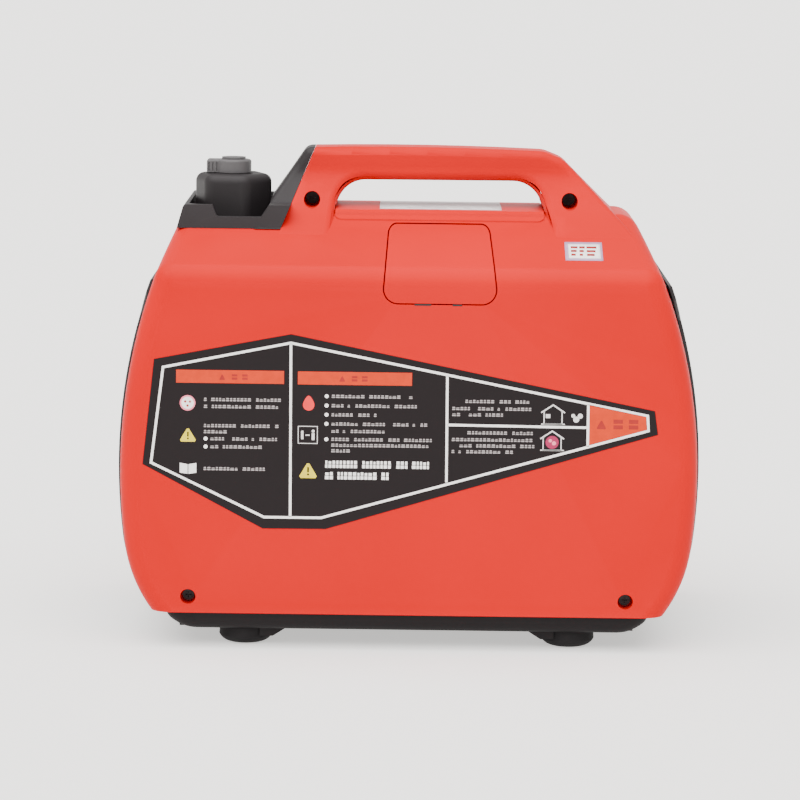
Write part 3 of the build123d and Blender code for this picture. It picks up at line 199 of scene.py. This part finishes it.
RED = (0.45, 0.0024, 0.0024)
MATS = {
    "casing_red": plastic("casing_red", RED, 0.42, 1300.0, 0.00006, 0.10, 0.03, 0.05),
    "trim_grey": plastic("trim_grey", (0.0118, 0.0096, 0.0105), 0.52, 900.0, 0.00012, 0.30, shine=0.2),
    "base_black": plastic("base_black", (0.0046, 0.0032, 0.0037), 0.54, 900.0, 0.00012, 0.28, shine=0.16),
    "tank_plastic": plastic("tank_plastic", (0.045, 0.045, 0.048), 0.55, 500.0, 0.0002, 0.35),
    "fan_plastic": plastic("fan_plastic", (0.05, 0.05, 0.055), 0.5),
    "socket_black": plastic("socket_black", (0.02, 0.02, 0.021), 0.34, 1500.0, 0.00004, 0.12),
    "knob_grey": plastic("knob_grey", (0.060, 0.056, 0.058), 0.48, 900.0, 0.0001, 0.28),
    "panel_plate": plastic("panel_plate", (0.10, 0.10, 0.105), 0.44, 1400.0, 0.00005, 0.2),
    "button_red": plastic("button_red", (0.62, 0.03, 0.025), 0.34, 1500.0, 0.00004, 0.12),
    "lamp_lens": plastic("lamp_lens", (0.06, 0.42, 0.10), 0.18, 1500.0, 0.00003, 0.08),
    "foot_rubber": rubber("foot_rubber", (0.0062, 0.0052, 0.0057)),
    "seal_rubber": rubber("seal_rubber", (0.022, 0.022, 0.023), 0.6),
    "label_print": ink("label_print", (0.0062, 0.0034, 0.0040)),
    "zinc_screws": metal("zinc_screws", (0.035, 0.03, 0.03), 0.5),
    "steel_parts": metal("steel_parts", (0.56, 0.56, 0.57), 0.3, (1, 12, 1)),
    "cast_alloy": metal("cast_alloy", (0.60, 0.60, 0.61), 0.46, cast=True),
    "iron_core": metal("iron_core", (0.34, 0.20, 0.11), 0.5, (1, 20, 1)),
    "magnet": metal("magnet", (0.22, 0.22, 0.23), 0.4),
    "shroud_metal": plastic("shroud_metal", (0.028, 0.028, 0.03), 0.38, 1100.0, 0.00006, 0.2),
    "exhaust_steel": metal("exhaust_steel", (0.46, 0.43, 0.40), 0.4, (1, 1, 9), tint=(0.30, 0.19, 0.12)),
    "ceramic_plug": plastic("ceramic_plug", (0.80, 0.79, 0.76), 0.2, 1500.0, 0.00002, 0.05),
    "rope_cord": plastic("rope_cord", (0.62, 0.61, 0.57), 0.8, 380.0, 0.0005, 0.8),
    "terminal_metal": metal("terminal_metal", (0.72, 0.55, 0.24), 0.3),
}

record_slots = {s["node"]: s["material_slot"] for s in frame["record"]["subparts"]}
for node_name, node_object in NODES.items():
    node_object.data.materials.clear()
    node_object.data.materials.append(MATS[record_slots[node_name]])


# ---------------------------------------------------------------- mesh helpers
MM = 0.001
FLANK_Y = 0.1450  # casing flank to centre
FLOOR_Z = -0.0004  # just under the feet
KNOB_FACE_X = -0.243  # front face of the rotary switch
GRIP_FACE_Y = 145.7  # outer face of the starter grip, in millimetres
SCREEN_X = 231.0  # where the spark screen sits in the tail pipe, in millimetres
OUTLET_U, OUTLET_V = 38, 208  # centre of one mains socket on the plate, in millimetres


def new_object(name, mesh, material, body="casing"):
    obj = bpy.data.objects.new(name, mesh)
    bpy.context.scene.collection.objects.link(obj)
    if material:
        mesh.materials.clear()
        mesh.materials.append(material)
    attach(obj, body)
    return obj


def prisms(name, outlines, lift, thick, material, place, body="casing"):
    """Thin closed prisms from flat outlines (u, v) in millimetres.

    place(u, v, w) turns an outline point and its height off the surface into a point in metres.
    """
    bm = bmesh.new()
    for outline in outlines:
        low = [bm.verts.new(place(u, v, lift)) for u, v in outline]
        high = [bm.verts.new(place(u, v, lift + thick)) for u, v in outline]
        bm.faces.new(high)
        bm.faces.new(list(reversed(low)))
        for i in range(len(outline)):
            j = (i + 1) % len(outline)
            bm.faces.new((low[i], low[j], high[j], high[i]))
    bmesh.ops.recalc_face_normals(bm, faces=bm.faces)
    mesh = bpy.data.meshes.new(name)
    bm.to_mesh(mesh)
    bm.free()
    return new_object(name, mesh, material, body)


def stroke(points, width, closed=False):
    """Quads that follow a polyline with mitred corners."""
    n = len(points)
    sides = []
    for i in range(n):
        here = Vector(points[i])
        before = Vector(points[i - 1]) if closed or i > 0 else None
        after = Vector(points[(i + 1) % n]) if closed or i < n - 1 else None
        steps = ((here - before) if before else None, (after - here) if after else None)
        runs = [d.normalized() for d in steps if d]
        normals = [Vector((-d.y, d.x)) for d in runs]
        miter = sum(normals, Vector((0, 0))).normalized()
        reach = width / 2 / max(0.3, miter.dot(normals[0]))
        sides.append((here + miter * reach, here - miter * reach))
    spans = range(n if closed else n - 1)
    return [
        [tuple(sides[i][0]), tuple(sides[(i + 1) % n][0]), tuple(sides[(i + 1) % n][1]), tuple(sides[i][1])]
        for i in spans
    ]


def rectangle(u0, v0, u1, v1):
    return [(u0, v0), (u1, v0), (u1, v1), (u0, v1)]


def round_shape(u, v, r, steps=28):
    return [(u + r * math.cos(math.tau * i / steps), v + r * math.sin(math.tau * i / steps)) for i in range(steps)]


def triangle(u, v, w, h, rounding=0.12):
    """A warning-sign style triangle with cut corners."""
    corners = [Vector((u - w / 2, v - h / 2)), Vector((u + w / 2, v - h / 2)), Vector((u, v + h / 2))]
    points = []
    for i in range(3):
        a, b, c = corners[i - 1], corners[i], corners[(i + 1) % 3]
        points += [tuple(b.lerp(a, rounding)), tuple(b.lerp(c, rounding))]
    return points


# ---------------------------------------------------------------- flank label
def flank(u, v, w):
    """A point on the near flank: u along X, v up, w off the surface, all in millimetres."""
    return Vector((u * MM, -FLANK_Y - w * MM, v * MM))


def word_row(z, x0, x1, height=2.6, seed=1):
    """A row of small blocks that stands for a line of print."""
    blocks, x, k = [], x0, seed
    while x < x1 - 1.5:
        k = (k * 37 + 11) % 101
        width = 2.0 + (k % 5) * 0.28
        if k % 9 != 0:
            lean = 0.25 * ((k % 3) - 1)
            top = z + height / 2 - (0.5 if k % 4 == 0 else 0.0)
            blocks.append(rectangle(x, z - height / 2, min(x + width, x1), z - 0.25 + lean * 0.3))
            blocks.append(rectangle(x + 0.2, z + 0.25 + lean * 0.3, min(x + width - 0.1, x1), top))
        x += width + 0.75
    return blocks


def side_label():
    """The big flank label: dark film, white frame and dividers, orange headers, plain generic signs."""
    outer = [
        (-216.3, 249.1), (-100.8, 271.6), (207.5, 210.0), (210.5, 189.8), (-70.1, 105.1), (-123.7, 104.9),
        (-225.8, 159.1),
    ]
    inner = [
        (-208.6, 242.3), (-100.8, 264.2), (201.4, 205.9), (202.4, 193.1), (-74.1, 114.7), (-122.5, 114.7),
        (-218.6, 160.5),
    ]
    base = prisms("label_film", [outer], 0.02, 0.18, MATS["label_print"], flank)
    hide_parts("warning_label")
    white = INKS["white"]
    frame_lines = stroke(inner, 2.1, closed=True)
    frame_lines += stroke([(-100.8, 263.6), (-100.3, 115.2)], 2.1)
    frame_lines += stroke([(31.5, 238.0), (32.0, 146.6)], 2.1)
    frame_lines += stroke([(32.4, 196.0), (150.2, 195.2)], 2.1)
    frame_lines += stroke([(151.0, 215.0), (151.2, 179.0)], 2.1)
    prisms("label_frame_lines", frame_lines, 0.2, 0.05, white, flank)
    orange = [rectangle(-197.5, 229.2, -106.4, 240.3), rectangle(-94.7, 229.0, 1.7, 240.1)]
    orange.append([(152.2, 180.4), (200.9, 193.9), (200.2, 205.2), (152.1, 214.8)])
    prisms("label_orange_panels", orange, 0.2, 0.05, INKS["orange"], flank)
    marks = [triangle(-158.6, 234.6, 5.4, 5.2), triangle(-57.2, 234.4, 5.4, 5.2), triangle(162.4, 198.2, 8.8, 8.2)]
    for u, v, s in ((-148.2, 234.6, 4.6), (-139.4, 234.6, 4.6), (-46.8, 234.4, 4.6), (-38.2, 234.4, 4.6)):
        marks.append(rectangle(u - s / 2, v + 0.5, u + s / 2, v + s / 2))
        marks.append(rectangle(u - s / 2, v - s / 2, u + s / 2, v - 0.4))
    for u in (176.6, 189.6):
        marks += [rectangle(u - 4, 198.9, u + 4, 202.4), rectangle(u - 4, 194.2, u + 4, 197.6)]
    prisms("label_dark_marks", marks, 0.25, 0.04, INKS["maroon"], flank)

    rows = []
    for i, (z, x0, x1) in enumerate(
        (
            (215.2, -174, -109), (209.2, -174, -111), (192.8, -174, -109), (187.6, -174, -150),
            (181.6, -168.4, -112),
            (174.8, -168.4, -120), (155.9, -174, -117), (219.2, -66, 4), (211.2, -66, 13), (203.4, -66, -28),
            (195.6, -66, 15), (189.4, -66, -20), (182.4, -66, 19), (177.4, -66, 17), (172.6, -66, -48),
            (216.4, 47, 101), (210.2, 36, 104), (205.0, 36, 79), (189.6, 46, 106), (183.6, 36, 106),
            (178.4, 36, 106), (173.3, 36, 90),
        )
    ):
        rows += word_row(z, x0, x1, 2.7, i + 3)
    prisms("label_small_rows", rows, 0.2, 0.04, INKS["grey"], flank)
    bold = word_row(161.0, -71, 17, 6.2, 5) + word_row(151.2, -71, -17, 6.2, 8)
    bold += [round_shape(-70.2, z, 1.7, 16) for z in (219.2, 211.2, 203.4, 195.6, 182.4)]
    bold += [round_shape(-172.4, z, 1.7, 16) for z in (181.6, 174.8)]
    book = [
        [(-194.2, 152.2), (-187.6, 151.2), (-187.6, 159.4), (-194.2, 160.6)],
        [(-186.8, 151.2), (-180.2, 152.2), (-180.2, 160.6), (-186.8, 159.4)],
    ]
    prisms("label_bold_rows", bold + book, 0.2, 0.05, white, flank)

    rose = [round_shape(-187.8, 212.0, 6.6)]
    prisms("label_sign_rose", rose, 0.2, 0.03, INKS["rose"], flank)
    prisms("label_sign_disc", [round_shape(-187.8, 212.0, 5.2)], 0.23, 0.03, white, flank)
    cross = [round_shape(-187.8 + 2.3 * math.cos(a), 212.0 + 2.3 * math.sin(a), 1.0, 12) for a in (0.5, 2.6, 4.7)]
    prisms("label_sign_dots", cross, 0.26, 0.03, INKS["maroon"], flank)
    yellow = [triangle(-187.4, 185.2, 15.2, 12.8), triangle(-85.4, 156.0, 16.8, 14.4)]
    prisms("label_sign_yellow", yellow, 0.2, 0.04, INKS["yellow"], flank)
    inside = [rectangle(-188.0, 183.2, -186.8, 187.2), round_shape(-187.4, 181.6, 0.8, 12)]
    inside += [rectangle(-86.1, 153.8, -84.7, 158.2), round_shape(-85.4, 152.0, 0.9, 12)]
    prisms("label_sign_bars", inside, 0.24, 0.04, MATS["label_print"], flank)
    drop = []
    for i in range(25):
        a = math.tau * i / 24
        r = 4.9 * (1 + 0.62 * max(0.0, math.sin(a)) ** 3)
        drop.append((-85.4 + 4.9 * math.cos(a), 211.6 + r * math.sin(a)))
    prisms("label_sign_drop", [drop[:-1]], 0.2, 0.04, INKS["red"], flank)
    boxes = stroke([(-94, 178.6), (-77.8, 178.6), (-77.8, 193.2), (-94, 193.2)], 0.6, closed=True)
    boxes += [rectangle(-91.6, 182.2, -89.6, 189.4), rectangle(-82.6, 181.6, -80.2, 187.4)]
    boxes += [round_shape(-81.4, 189.2, 1.3, 12), rectangle(-87.8, 185.2, -84.4, 186.2)]
    for cx, cz in ((121.4, 206.0), (121.0, 183.6)):
        walls = [(cx - 7.6, cz + 2.6), (cx - 7.6, cz - 8.0), (cx + 7.6, cz - 8.0), (cx + 7.6, cz + 2.6)]
        boxes += stroke(walls, 0.9) + stroke([(cx - 10, cz + 1.6), (cx, cz + 8.2), (cx + 10, cz + 1.6)], 1.2)
        boxes += stroke([(cx - 10, cz - 8.2), (cx + 10, cz - 8.2)], 1.0)
    boxes += [rectangle(115.2, 203.0, 119.0, 206.4)]
    boxes += [round_shape(141.0, 202.0, 2.6, 14), round_shape(144.4, 205.0, 2.2, 14)]
    boxes += [round_shape(138.4, 205.2, 1.7, 12)]
    prisms("label_sign_outlines", boxes, 0.2, 0.04, INKS["pale"], flank)
    prisms("label_sign_plum", [round_shape(121.0, 182.2, 5.6)], 0.2, 0.03, INKS["plum"], flank)
    plum_marks = [round_shape(119.4, 183.6, 1.5, 12), round_shape(122.6, 181.4, 1.8, 12)]
    prisms("label_sign_plum_marks", plum_marks, 0.23, 0.03, INKS["rose"], flank)


INKS = {
    "white": ink("ink_white", (0.80, 0.78, 0.76)),
    "pale": ink("ink_pale", (0.60, 0.58, 0.57)),
    "grey": ink("ink_grey", (0.30, 0.27, 0.27)),
    "orange": ink("ink_orange", (0.50, 0.030, 0.004)),
    "maroon": ink("ink_maroon", (0.28, 0.015, 0.012)),
    "rose": ink("ink_rose", (0.78, 0.20, 0.27)),
    "red": ink("ink_red", (0.72, 0.03, 0.03)),
    "yellow": ink("ink_yellow", (0.62, 0.50, 0.035)),
    "plum": ink("ink_plum", (0.30, 0.02, 0.07)),
    "silver": ink("ink_silver", (0.50, 0.47, 0.48), 0.38),
    "lilac": ink("ink_lilac", (0.36, 0.24, 0.36)),
}


def cast_onto(node, start, direction):
    """Where a ray from outside first meets a CAD node, and the surface normal there."""
    hit, place, normal, _ = NODES[node].ray_cast(Vector(start), Vector(direction))
    if not hit:
        raise ValueError(f"the ray from {tuple(start)} misses {node}")
    return place, normal


def patch(name, node, starts, direction, lift, material):
    """A thin film laid on a node: starts is a grid of ray origins outside the surface."""
    bm = bmesh.new()
    rows = []
    for row in starts:
        line = []
        for start in row:
            place, normal = cast_onto(node, start, direction)
            line.append((place + normal * lift, place + normal * (lift * 0.15)))
        rows.append(line)
    top = [[bm.verts.new(p[0]) for p in line] for line in rows]
    low = [[bm.verts.new(p[1]) for p in line] for line in rows]
    nu, nv = len(rows), len(rows[0])
    for i in range(nu - 1):
        for j in range(nv - 1):
            bm.faces.new((top[i][j], top[i + 1][j], top[i + 1][j + 1], top[i][j + 1]))
            bm.faces.new((low[i][j], low[i][j + 1], low[i + 1][j + 1], low[i + 1][j]))
    rim = [(i, 0) for i in range(nu)] + [(nu - 1, j) for j in range(1, nv)]
    rim += [(i, nv - 1) for i in range(nu - 2, -1, -1)] + [(0, j) for j in range(nv - 2, 0, -1)]
    for k in range(len(rim)):
        (a, b), (c, d) = rim[k], rim[(k + 1) % len(rim)]
        bm.faces.new((top[a][b], low[a][b], low[c][d], top[c][d]))
    bmesh.ops.recalc_face_normals(bm, faces=bm.faces)
    mesh = bpy.data.meshes.new(name)
    bm.to_mesh(mesh)
    bm.free()
    for face in mesh.polygons:
        face.use_smooth = True
    return new_object(name, mesh, material)


def span(a, b, n):
    return [a + (b - a) * i / (n - 1) for i in range(n)]


def deck_label():
    """The silver-grey printed film under the grip, with generic bands of print."""
    def grid(x0, x1, y0, y1, nx=26, ny=10):
        return [[Vector((x, y, 0.40)) for y in span(y0 * MM, y1 * MM, ny)] for x in span(x0 * MM, x1 * MM, nx)]

    down = (0, 0, -1)
    patch("deck_label", "top_deck_cover", grid(-28, 78, -38, 38), down, 0.00025, INKS["silver"])
    bands = ((-22, -2, -30, -24), (-22, 10, -20, -15), (30, 46, -31, -22), (52, 72, -30, -25), (20, 72, -19, -15))
    for i, (x0, x1, y0, y1) in enumerate(bands):
        starts = grid(x0, x1, y0, y1, 6, 3)
        patch(f"deck_label_band_{i}", "top_deck_cover", starts, down, 0.00038, INKS["pale"])


def hatch_notch_shade():
    """Two thin dark strips at the finger recesses in the hatch's lower edge: painted shade."""
    notch_shade_strips = [rectangle(3, 297.2, 17, 298.6), rectangle(35, 297.2, 43, 298.6)]
    prisms("hatch_notch_shade", notch_shade_strips, 0.02, 0.12, MATS["seal_rubber"], flank)


def shoulder_sticker():
    def grid(x0, x1, z0, z1, nx=12, nz=8):
        return [[Vector((x, -0.25, z)) for z in span(z0 * MM, z1 * MM, nz)] for x in span(x0 * MM, x1 * MM, nx)]

    toward = (0, 1, 0)
    shell = "near_side_shell"
    border, middle = grid(130.5, 162.5, 334.5, 347), grid(133.5, 160.5, 336, 345.5)
    patch("shoulder_sticker", shell, border, toward, 0.0002, INKS["lilac"])
    patch("shoulder_sticker_panel", shell, middle, toward, 0.0003, INKS["white"])
    k = 0
    for row, z in enumerate((343.3, 340.8, 338.3)):
        for x0, x1 in ((135.6, 141.5), (142.8, 147.6), (149, 157.6)):
            k += 1
            mark = grid(x0, x1 - row, z - 0.7, z + 0.7, 3, 2)
            patch(f"shoulder_sticker_mark_{k}", shell, mark, toward, 0.00038, INKS["maroon"])


side_label()
deck_label()
shoulder_sticker()
hatch_notch_shade()


# ---------------------------------------------------------------- control panel details
def panel(u, v, w):
    """A point on the control plate: u along Y, v up, w out of the plate, all in millimetres."""
    return Vector((PANEL_X - w * MM, u * MM, v * MM))


PANEL_X = -0.22595


def lathe(name, profile, centre, axis, material, body="casing", steps=40):
    """Turns a closed profile of (radius, along) points, in millimetres, about an axis."""
    axis = Vector(axis).normalized()
    side = axis.orthogonal().normalized()
    other = axis.cross(side)
    bm = bmesh.new()
    rings = []
    for i in range(steps):
        a = math.tau * i / steps
        spoke = side * math.cos(a) + other * math.sin(a)
        rings.append([bm.verts.new(Vector(centre) + spoke * (r * MM) + axis * (h * MM)) for r, h in profile])
    for i in range(steps):
        one, two = rings[i], rings[(i + 1) % steps]
        for j in range(len(profile)):
            k = (j + 1) % len(profile)
            bm.faces.new((one[j], one[k], two[k], two[j]))
    bmesh.ops.remove_doubles(bm, verts=bm.verts, dist=1e-7)
    bmesh.ops.recalc_face_normals(bm, faces=bm.faces)
    mesh = bpy.data.meshes.new(name)
    bm.to_mesh(mesh)
    bm.free()
    obj = new_object(name, mesh, material, body)
    smooth_by_angle(mesh)
    return obj


def smooth_by_angle(mesh, degrees=32):
    """Smooth shading with creases at sharp edges."""
    for face in mesh.polygons:
        face.use_smooth = True
    mesh.set_sharp_from_angle(angle=math.radians(degrees))


def pan_head(name, centre, axis, r, material, body="casing"):
    """A small domed cross-head screw, seen from outside, with painted shade for its cross recess."""
    dome = [(0.0, 0.0), (r, 0.0), (r, 0.35 * r), (0.82 * r, 0.62 * r), (0.45 * r, 0.78 * r), (0.0, 0.8 * r)]
    lathe(name, dome, centre, axis, material, body, 24)
    axis = Vector(axis).normalized()
    side = axis.orthogonal().normalized()
    other = axis.cross(side)

    def place(u, v, w):
        return Vector(centre) + side * (u * MM) + other * (v * MM) + axis * (w * MM)

    # Painted shade: a dark raised cross stands for the shaded cross recess, which is not cut.
    reach, half = 0.55 * r, 0.11 * r
    recess_shade_arms = [rectangle(-reach, -half, reach, half), rectangle(-half, -reach, half, reach)]
    prisms(name + "_cross_recess_shade", recess_shade_arms, 0.7 * r, 0.14 * r, MATS["label_print"], place, body)


def rounded(u0, v0, u1, v1, r, steps=5):
    """A rounded rectangle outline."""
    points = []
    for cu, cv, start in ((u1 - r, v1 - r, 0), (u0 + r, v1 - r, 90), (u0 + r, v0 + r, 180), (u1 - r, v0 + r, 270)):
        for i in range(steps + 1):
            a = math.radians(start + 90 * i / steps)
            points.append((cu + r * math.cos(a), cv + r * math.sin(a)))
    return points


def control_print():
    """White outlines, ticks and marks printed on the control plate."""
    lines = stroke(rounded(-74, 172, 74, 243.5, 5), 0.7, closed=True)
    lines += stroke(rounded(-74, 76, -12, 168, 5), 0.7, closed=True)
    lines += stroke(rounded(-8, 76, 74, 168, 5), 0.7, closed=True)
    for i in range(7):
        a = math.radians(90 + 30 * i)
        c, s = math.cos(a), math.sin(a)
        lines += stroke([(-40 + 21.5 * c, 132 + 21.5 * s), (-40 + 24.5 * c, 132 + 24.5 * s)], 0.9)
    for u in (20, 38, 56):
        lines += [rectangle(u - 5, 249.8, u + 5, 251.4)]
    lines += [round_shape(8, 161.5, 1.6, 16)] + stroke([(4, 132.2), (12, 132.2)], 1.0)
    lines += stroke([(8, 96.0), (8, 102.0)], 0.8) + stroke([(4.6, 96.0), (11.4, 96.0)], 0.8)
    for k, half in enumerate((4.2, 2.8, 1.4)):
        lines += stroke([(-44 - half, 90.0 - 2.0 * k), (-44 + half, 90.0 - 2.0 * k)], 0.7)
    lines += stroke([(-44, 94.5), (-44, 90.0)], 0.7)
    lines += stroke([(48 - 7, 157.5), (48 + 7, 157.5)], 0.9)
    lines += stroke([(48 - 7, 160.0), (48 - 3, 160.0)], 0.9) + stroke([(48 - 1.6, 160.0), (48 + 2.2, 160.0)], 0.9)
    lines += stroke([(41, 79.5), (53, 79.5)], 0.9)
    prisms("panel_print", lines, 0.02, 0.05, INKS["pale"], panel)
    for i, u in enumerate((-70, 70)):
        pan_head(f"panel_screw_{i}", panel(u, 272, 0.0), (-1, 0, 0), 3.2, MATS["zinc_screws"])
    for side in (-1, 1):
        for dv in (-1, 1):
            for du in (-1, 1):
                centre = panel(side * OUTLET_U + du * 23.6, OUTLET_V + dv * 23.6, 3.0)
                name = f"outlet_screw_{side}_{dv}_{du}"
                pan_head(name, centre, (-1, 0, 0), 2.4, MATS["zinc_screws"])


def knob_mark():
    """The white pointer line on the rotary switch."""
    def face(u, v, w):
        return Vector((KNOB_FACE_X - w * MM, (-40 + u) * MM, (132 + v) * MM))

    pointer = [rounded(-0.8, 5, 0.8, 16.5, 0.7)]
    prisms("switch_pointer", pointer, 0.0, 0.12, INKS["white"], face, "run_switch")


def socket_contacts():
    """Spring contacts seen inside the mains sockets' slots, and the USB tongues."""
    for side in (-1, 1):
        for k, (du, dv, turn) in enumerate(((0, 10, 0), (-9, -6, 30), (9, -6, -30))):
            c, s = math.cos(math.radians(turn)), math.sin(math.radians(turn))
            shape = [(-0.5, -3.6), (0.5, -3.6), (0.5, 3.6), (-0.5, 3.6)]
            outline = [(side * OUTLET_U + du + a * c - b * s, OUTLET_V + dv + a * s + b * c) for a, b in shape]
            brass = MATS["terminal_metal"]
            prisms(f"socket_contact_{side}_{k}", [outline], -16.0, 3.0, brass, panel)
    for k, du in enumerate((-8, 8)):
        tongue = rectangle(-38 + du - 4.8, 260.1, -38 + du + 4.8, 261.7)
        prisms(f"usb_tongue_{k}", [tongue], -10.0, 9.5, INKS["white"], panel)


# ---------------------------------------------------------------- far side details
def far_flank(u, v, w):
    """A point on the far flank: u along X, v up, w off the surface, all in millimetres."""
    return Vector((u * MM, FLANK_Y + w * MM, v * MM))


def far_side_print():
    """Choke marks beside the slider, and a plain data plate with bars for its print."""
    marks = stroke([(-52, 241.5), (-16, 241.5)], 0.8)
    marks += [triangle(-55.5, 241.5, 3.4, 3.4), triangle(-12.5, 241.5, 3.4, 3.4)]
    marks += stroke([(-58, 220), (-52, 220)], 0.9) + stroke([(-16, 220), (-8, 220)], 0.9)
    prisms("choke_marks", marks, 0.02, 0.05, INKS["white"], far_flank)
    plate = [rounded(126, 150, 196, 196, 2.5)]
    prisms("data_plate", plate, 0.02, 0.1, INKS["silver"], far_flank)
    rows = []
    for i in range(6):
        z = 189 - 6.2 * i
        rows += word_row(z, 130, 156 - (i % 3) * 4, 2.4, i + 2) + word_row(z, 162, 192 - (i % 2) * 8, 2.4, i + 9)
    rows += stroke([(159, 153.5), (159, 192.5)], 0.4)
    prisms("data_plate_rows", rows, 0.12, 0.03, INKS["grey"], far_flank)


def grip_ribs():
    """Finger ribs moulded across the starter grip."""
    x0, z0 = 60.5, 236.0
    for i in range(-5, 6):
        if i == 0:
            continue
        x = x0 + i * 6.6
        reach = 8.2 - 0.02 * i * i
        points = [(x - 1.1, z0 - reach), (x + 1.1, z0 - reach), (x + 1.1, z0 + reach), (x - 1.1, z0 + reach)]

        def face(u, v, w):
            return Vector((u * MM, (GRIP_FACE_Y + w) * MM, v * MM))

        prisms(f"grip_rib_{i + 5}", [points], 0.0, 0.9, MATS["knob_grey"], face, "grip")


def pull_rope():
    """The visible run of rope, which pays out between the guide and the grip."""
    bm = bmesh.new()
    rings, n = 40, 20
    x, z, r = 0.0605, 0.236, 0.0023
    loops = []
    for i in range(rings):
        y = 0.1165 + (0.1340 - 0.1165) * i / (rings - 1)
        ring = [(x + r * math.cos(math.tau * k / n), y, z + r * math.sin(math.tau * k / n)) for k in range(n)]
        loops.append([bm.verts.new(point) for point in ring])
    for i in range(rings - 1):
        for k in range(n):
            m = (k + 1) % n
            bm.faces.new((loops[i][k], loops[i][m], loops[i + 1][m], loops[i + 1][k]))
    bm.faces.new(list(reversed(loops[0])))
    bm.faces.new(loops[-1])
    bmesh.ops.recalc_face_normals(bm, faces=bm.faces)
    mesh = bpy.data.meshes.new("pull_rope")
    bm.to_mesh(mesh)
    bm.free()
    for face in mesh.polygons:
        face.use_smooth = True
    rope = bpy.data.objects.new("pull_rope", mesh)
    bpy.context.scene.collection.objects.link(rope)
    mesh.materials.append(MATS["rope_cord"])
    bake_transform(rope)


# ---------------------------------------------------------------- exhaust end details
def spark_screen():
    """Woven wire across the tail pipe."""
    y0, z0, r = -44.0, 122.0, 9.6
    wires = []
    for i in range(-6, 7):
        half = math.sqrt(max(0.0, r * r - (i * 1.5) ** 2))
        if half < 1:
            continue
        wires.append(rectangle(y0 + i * 1.5 - 0.25, z0 - half, y0 + i * 1.5 + 0.25, z0 + half))
        wires.append(rectangle(y0 - half, z0 + i * 1.5 - 0.25, y0 + half, z0 + i * 1.5 + 0.25))

    def face(u, v, w):
        return Vector(((SCREEN_X + w) * MM, u * MM, v * MM))

    prisms("spark_screen", wires, 0.0, 0.4, MATS["exhaust_steel"], face)


control_print()
knob_mark()
socket_contacts()
far_side_print()
grip_ribs()
pull_rope()
spark_screen()


def shade_rear_gaps():
    """Dark strips behind the rear panel's edges, which close the gap to the casing to light: painted shade in the
    gap.
    """
    for name, y in (("near", -93.5), ("far", 93.5)):
        outer = []
        for z in span(36, 286, 14):
            place, _ = cast_onto("rear_panel", (0.35, y * MM, z * MM), (-1, 0, 0))
            outer.append((place.x / MM - 6.5, z))
        inner = [(x - 14, z) for x, z in reversed(outer)]

        def wall(u, v, w, y=y):
            return Vector((u * MM, (y + w) * MM, v * MM))

        prisms(f"rear_gap_shade_{name}", [outer + inner], -1.0, 2.0, MATS["seal_rubber"], wall)


shade_rear_gaps()


# ---------------------------------------------------------------- camera
def photo_camera():
    """A long lens, slightly above the object, with the photograph's small tilt."""
    distance, elevation, roll = 3.024, math.radians(8.5), math.radians(0.75)
    forward = Vector((0, math.cos(elevation), -math.sin(elevation)))
    right = Vector((1, 0, 0))
    up = Vector((0, math.sin(elevation), math.cos(elevation)))
    right_tilted = right * math.cos(roll) + up * math.sin(roll)
    up_tilted = up * math.cos(roll) - right * math.sin(roll)
    target = Vector((-0.00825, 0.0, 0.1951))
    data = bpy.data.cameras.new("photo_camera")
    data.sensor_width = 36.0
    data.lens = 153.2
    data.clip_end = 150.0
    camera = bpy.data.objects.new("photo_camera", data)
    basis = Matrix((right_tilted, up_tilted, -forward)).transposed().to_4x4()
    camera.matrix_world = Matrix.Translation(target - forward * distance) @ basis
    bpy.context.scene.collection.objects.link(camera)
    bpy.context.scene.camera = camera


# ---------------------------------------------------------------- studio
def studio():
    """A wide pale floor, a bright surround that dims overhead, and one very soft overhead light."""
    g = Graph("studio_sweep")
    speck = g.noise(60.0, 3.0)
    tone = g.mix(g.ramp(speck, 0.3, 0.7), (0.595, 0.588, 0.578), (0.605, 0.598, 0.588))
    glow = (1.0, 0.982, 0.955)
    material = g.finish(tone, 1.0, Specular_IOR_Level=0.0, Emission_Color=glow, Emission_Strength=0.75)
    mesh = bpy.data.meshes.new("studio_floor")
    bm = bmesh.new()
    reach, steps = 60.0, 96
    angles = [math.tau * i / steps for i in range(steps)]
    bm.faces.new([bm.verts.new((math.cos(a) * reach, math.sin(a) * reach, FLOOR_Z)) for a in angles])
    bm.to_mesh(mesh)
    floor = bpy.data.objects.new("studio_floor", mesh)
    mesh.materials.append(material)
    bpy.context.scene.collection.objects.link(floor)

    world = bpy.data.worlds.new("studio_world")
    bpy.context.scene.world = world
    world.use_nodes = True
    tree = world.node_tree
    back = tree.nodes["Background"]
    where = tree.nodes.new("ShaderNodeTexCoord").outputs["Generated"]
    split = tree.nodes.new("ShaderNodeSeparateXYZ")
    tree.links.new(where, split.inputs[0])
    height = tree.nodes.new("ShaderNodeMapRange")
    height.interpolation_type = "SMOOTHSTEP"
    for key, value in (("From Min", 0.0), ("From Max", 0.3), ("To Min", 2.72), ("To Max", 1.05)):
        height.inputs[key].default_value = value
    tree.links.new(split.outputs["Z"], height.inputs["Value"])
    tree.links.new(height.outputs["Result"], back.inputs["Strength"])
    back.inputs["Color"].default_value = (1.0, 0.988, 0.968, 1.0)

    light = bpy.data.lights.new("soft_top", "SUN")
    light.energy = 8.0
    light.angle = math.radians(85)
    light.color = (1.0, 0.992, 0.98)
    lamp = bpy.data.objects.new("soft_top", light)
    aim = Vector((0.15, 0.35, -1.0))
    lamp.rotation_euler = aim.to_track_quat("-Z", "Y").to_euler()
    bpy.context.scene.collection.objects.link(lamp)


studio()
photo_camera()

bpy.context.view_layer.update()
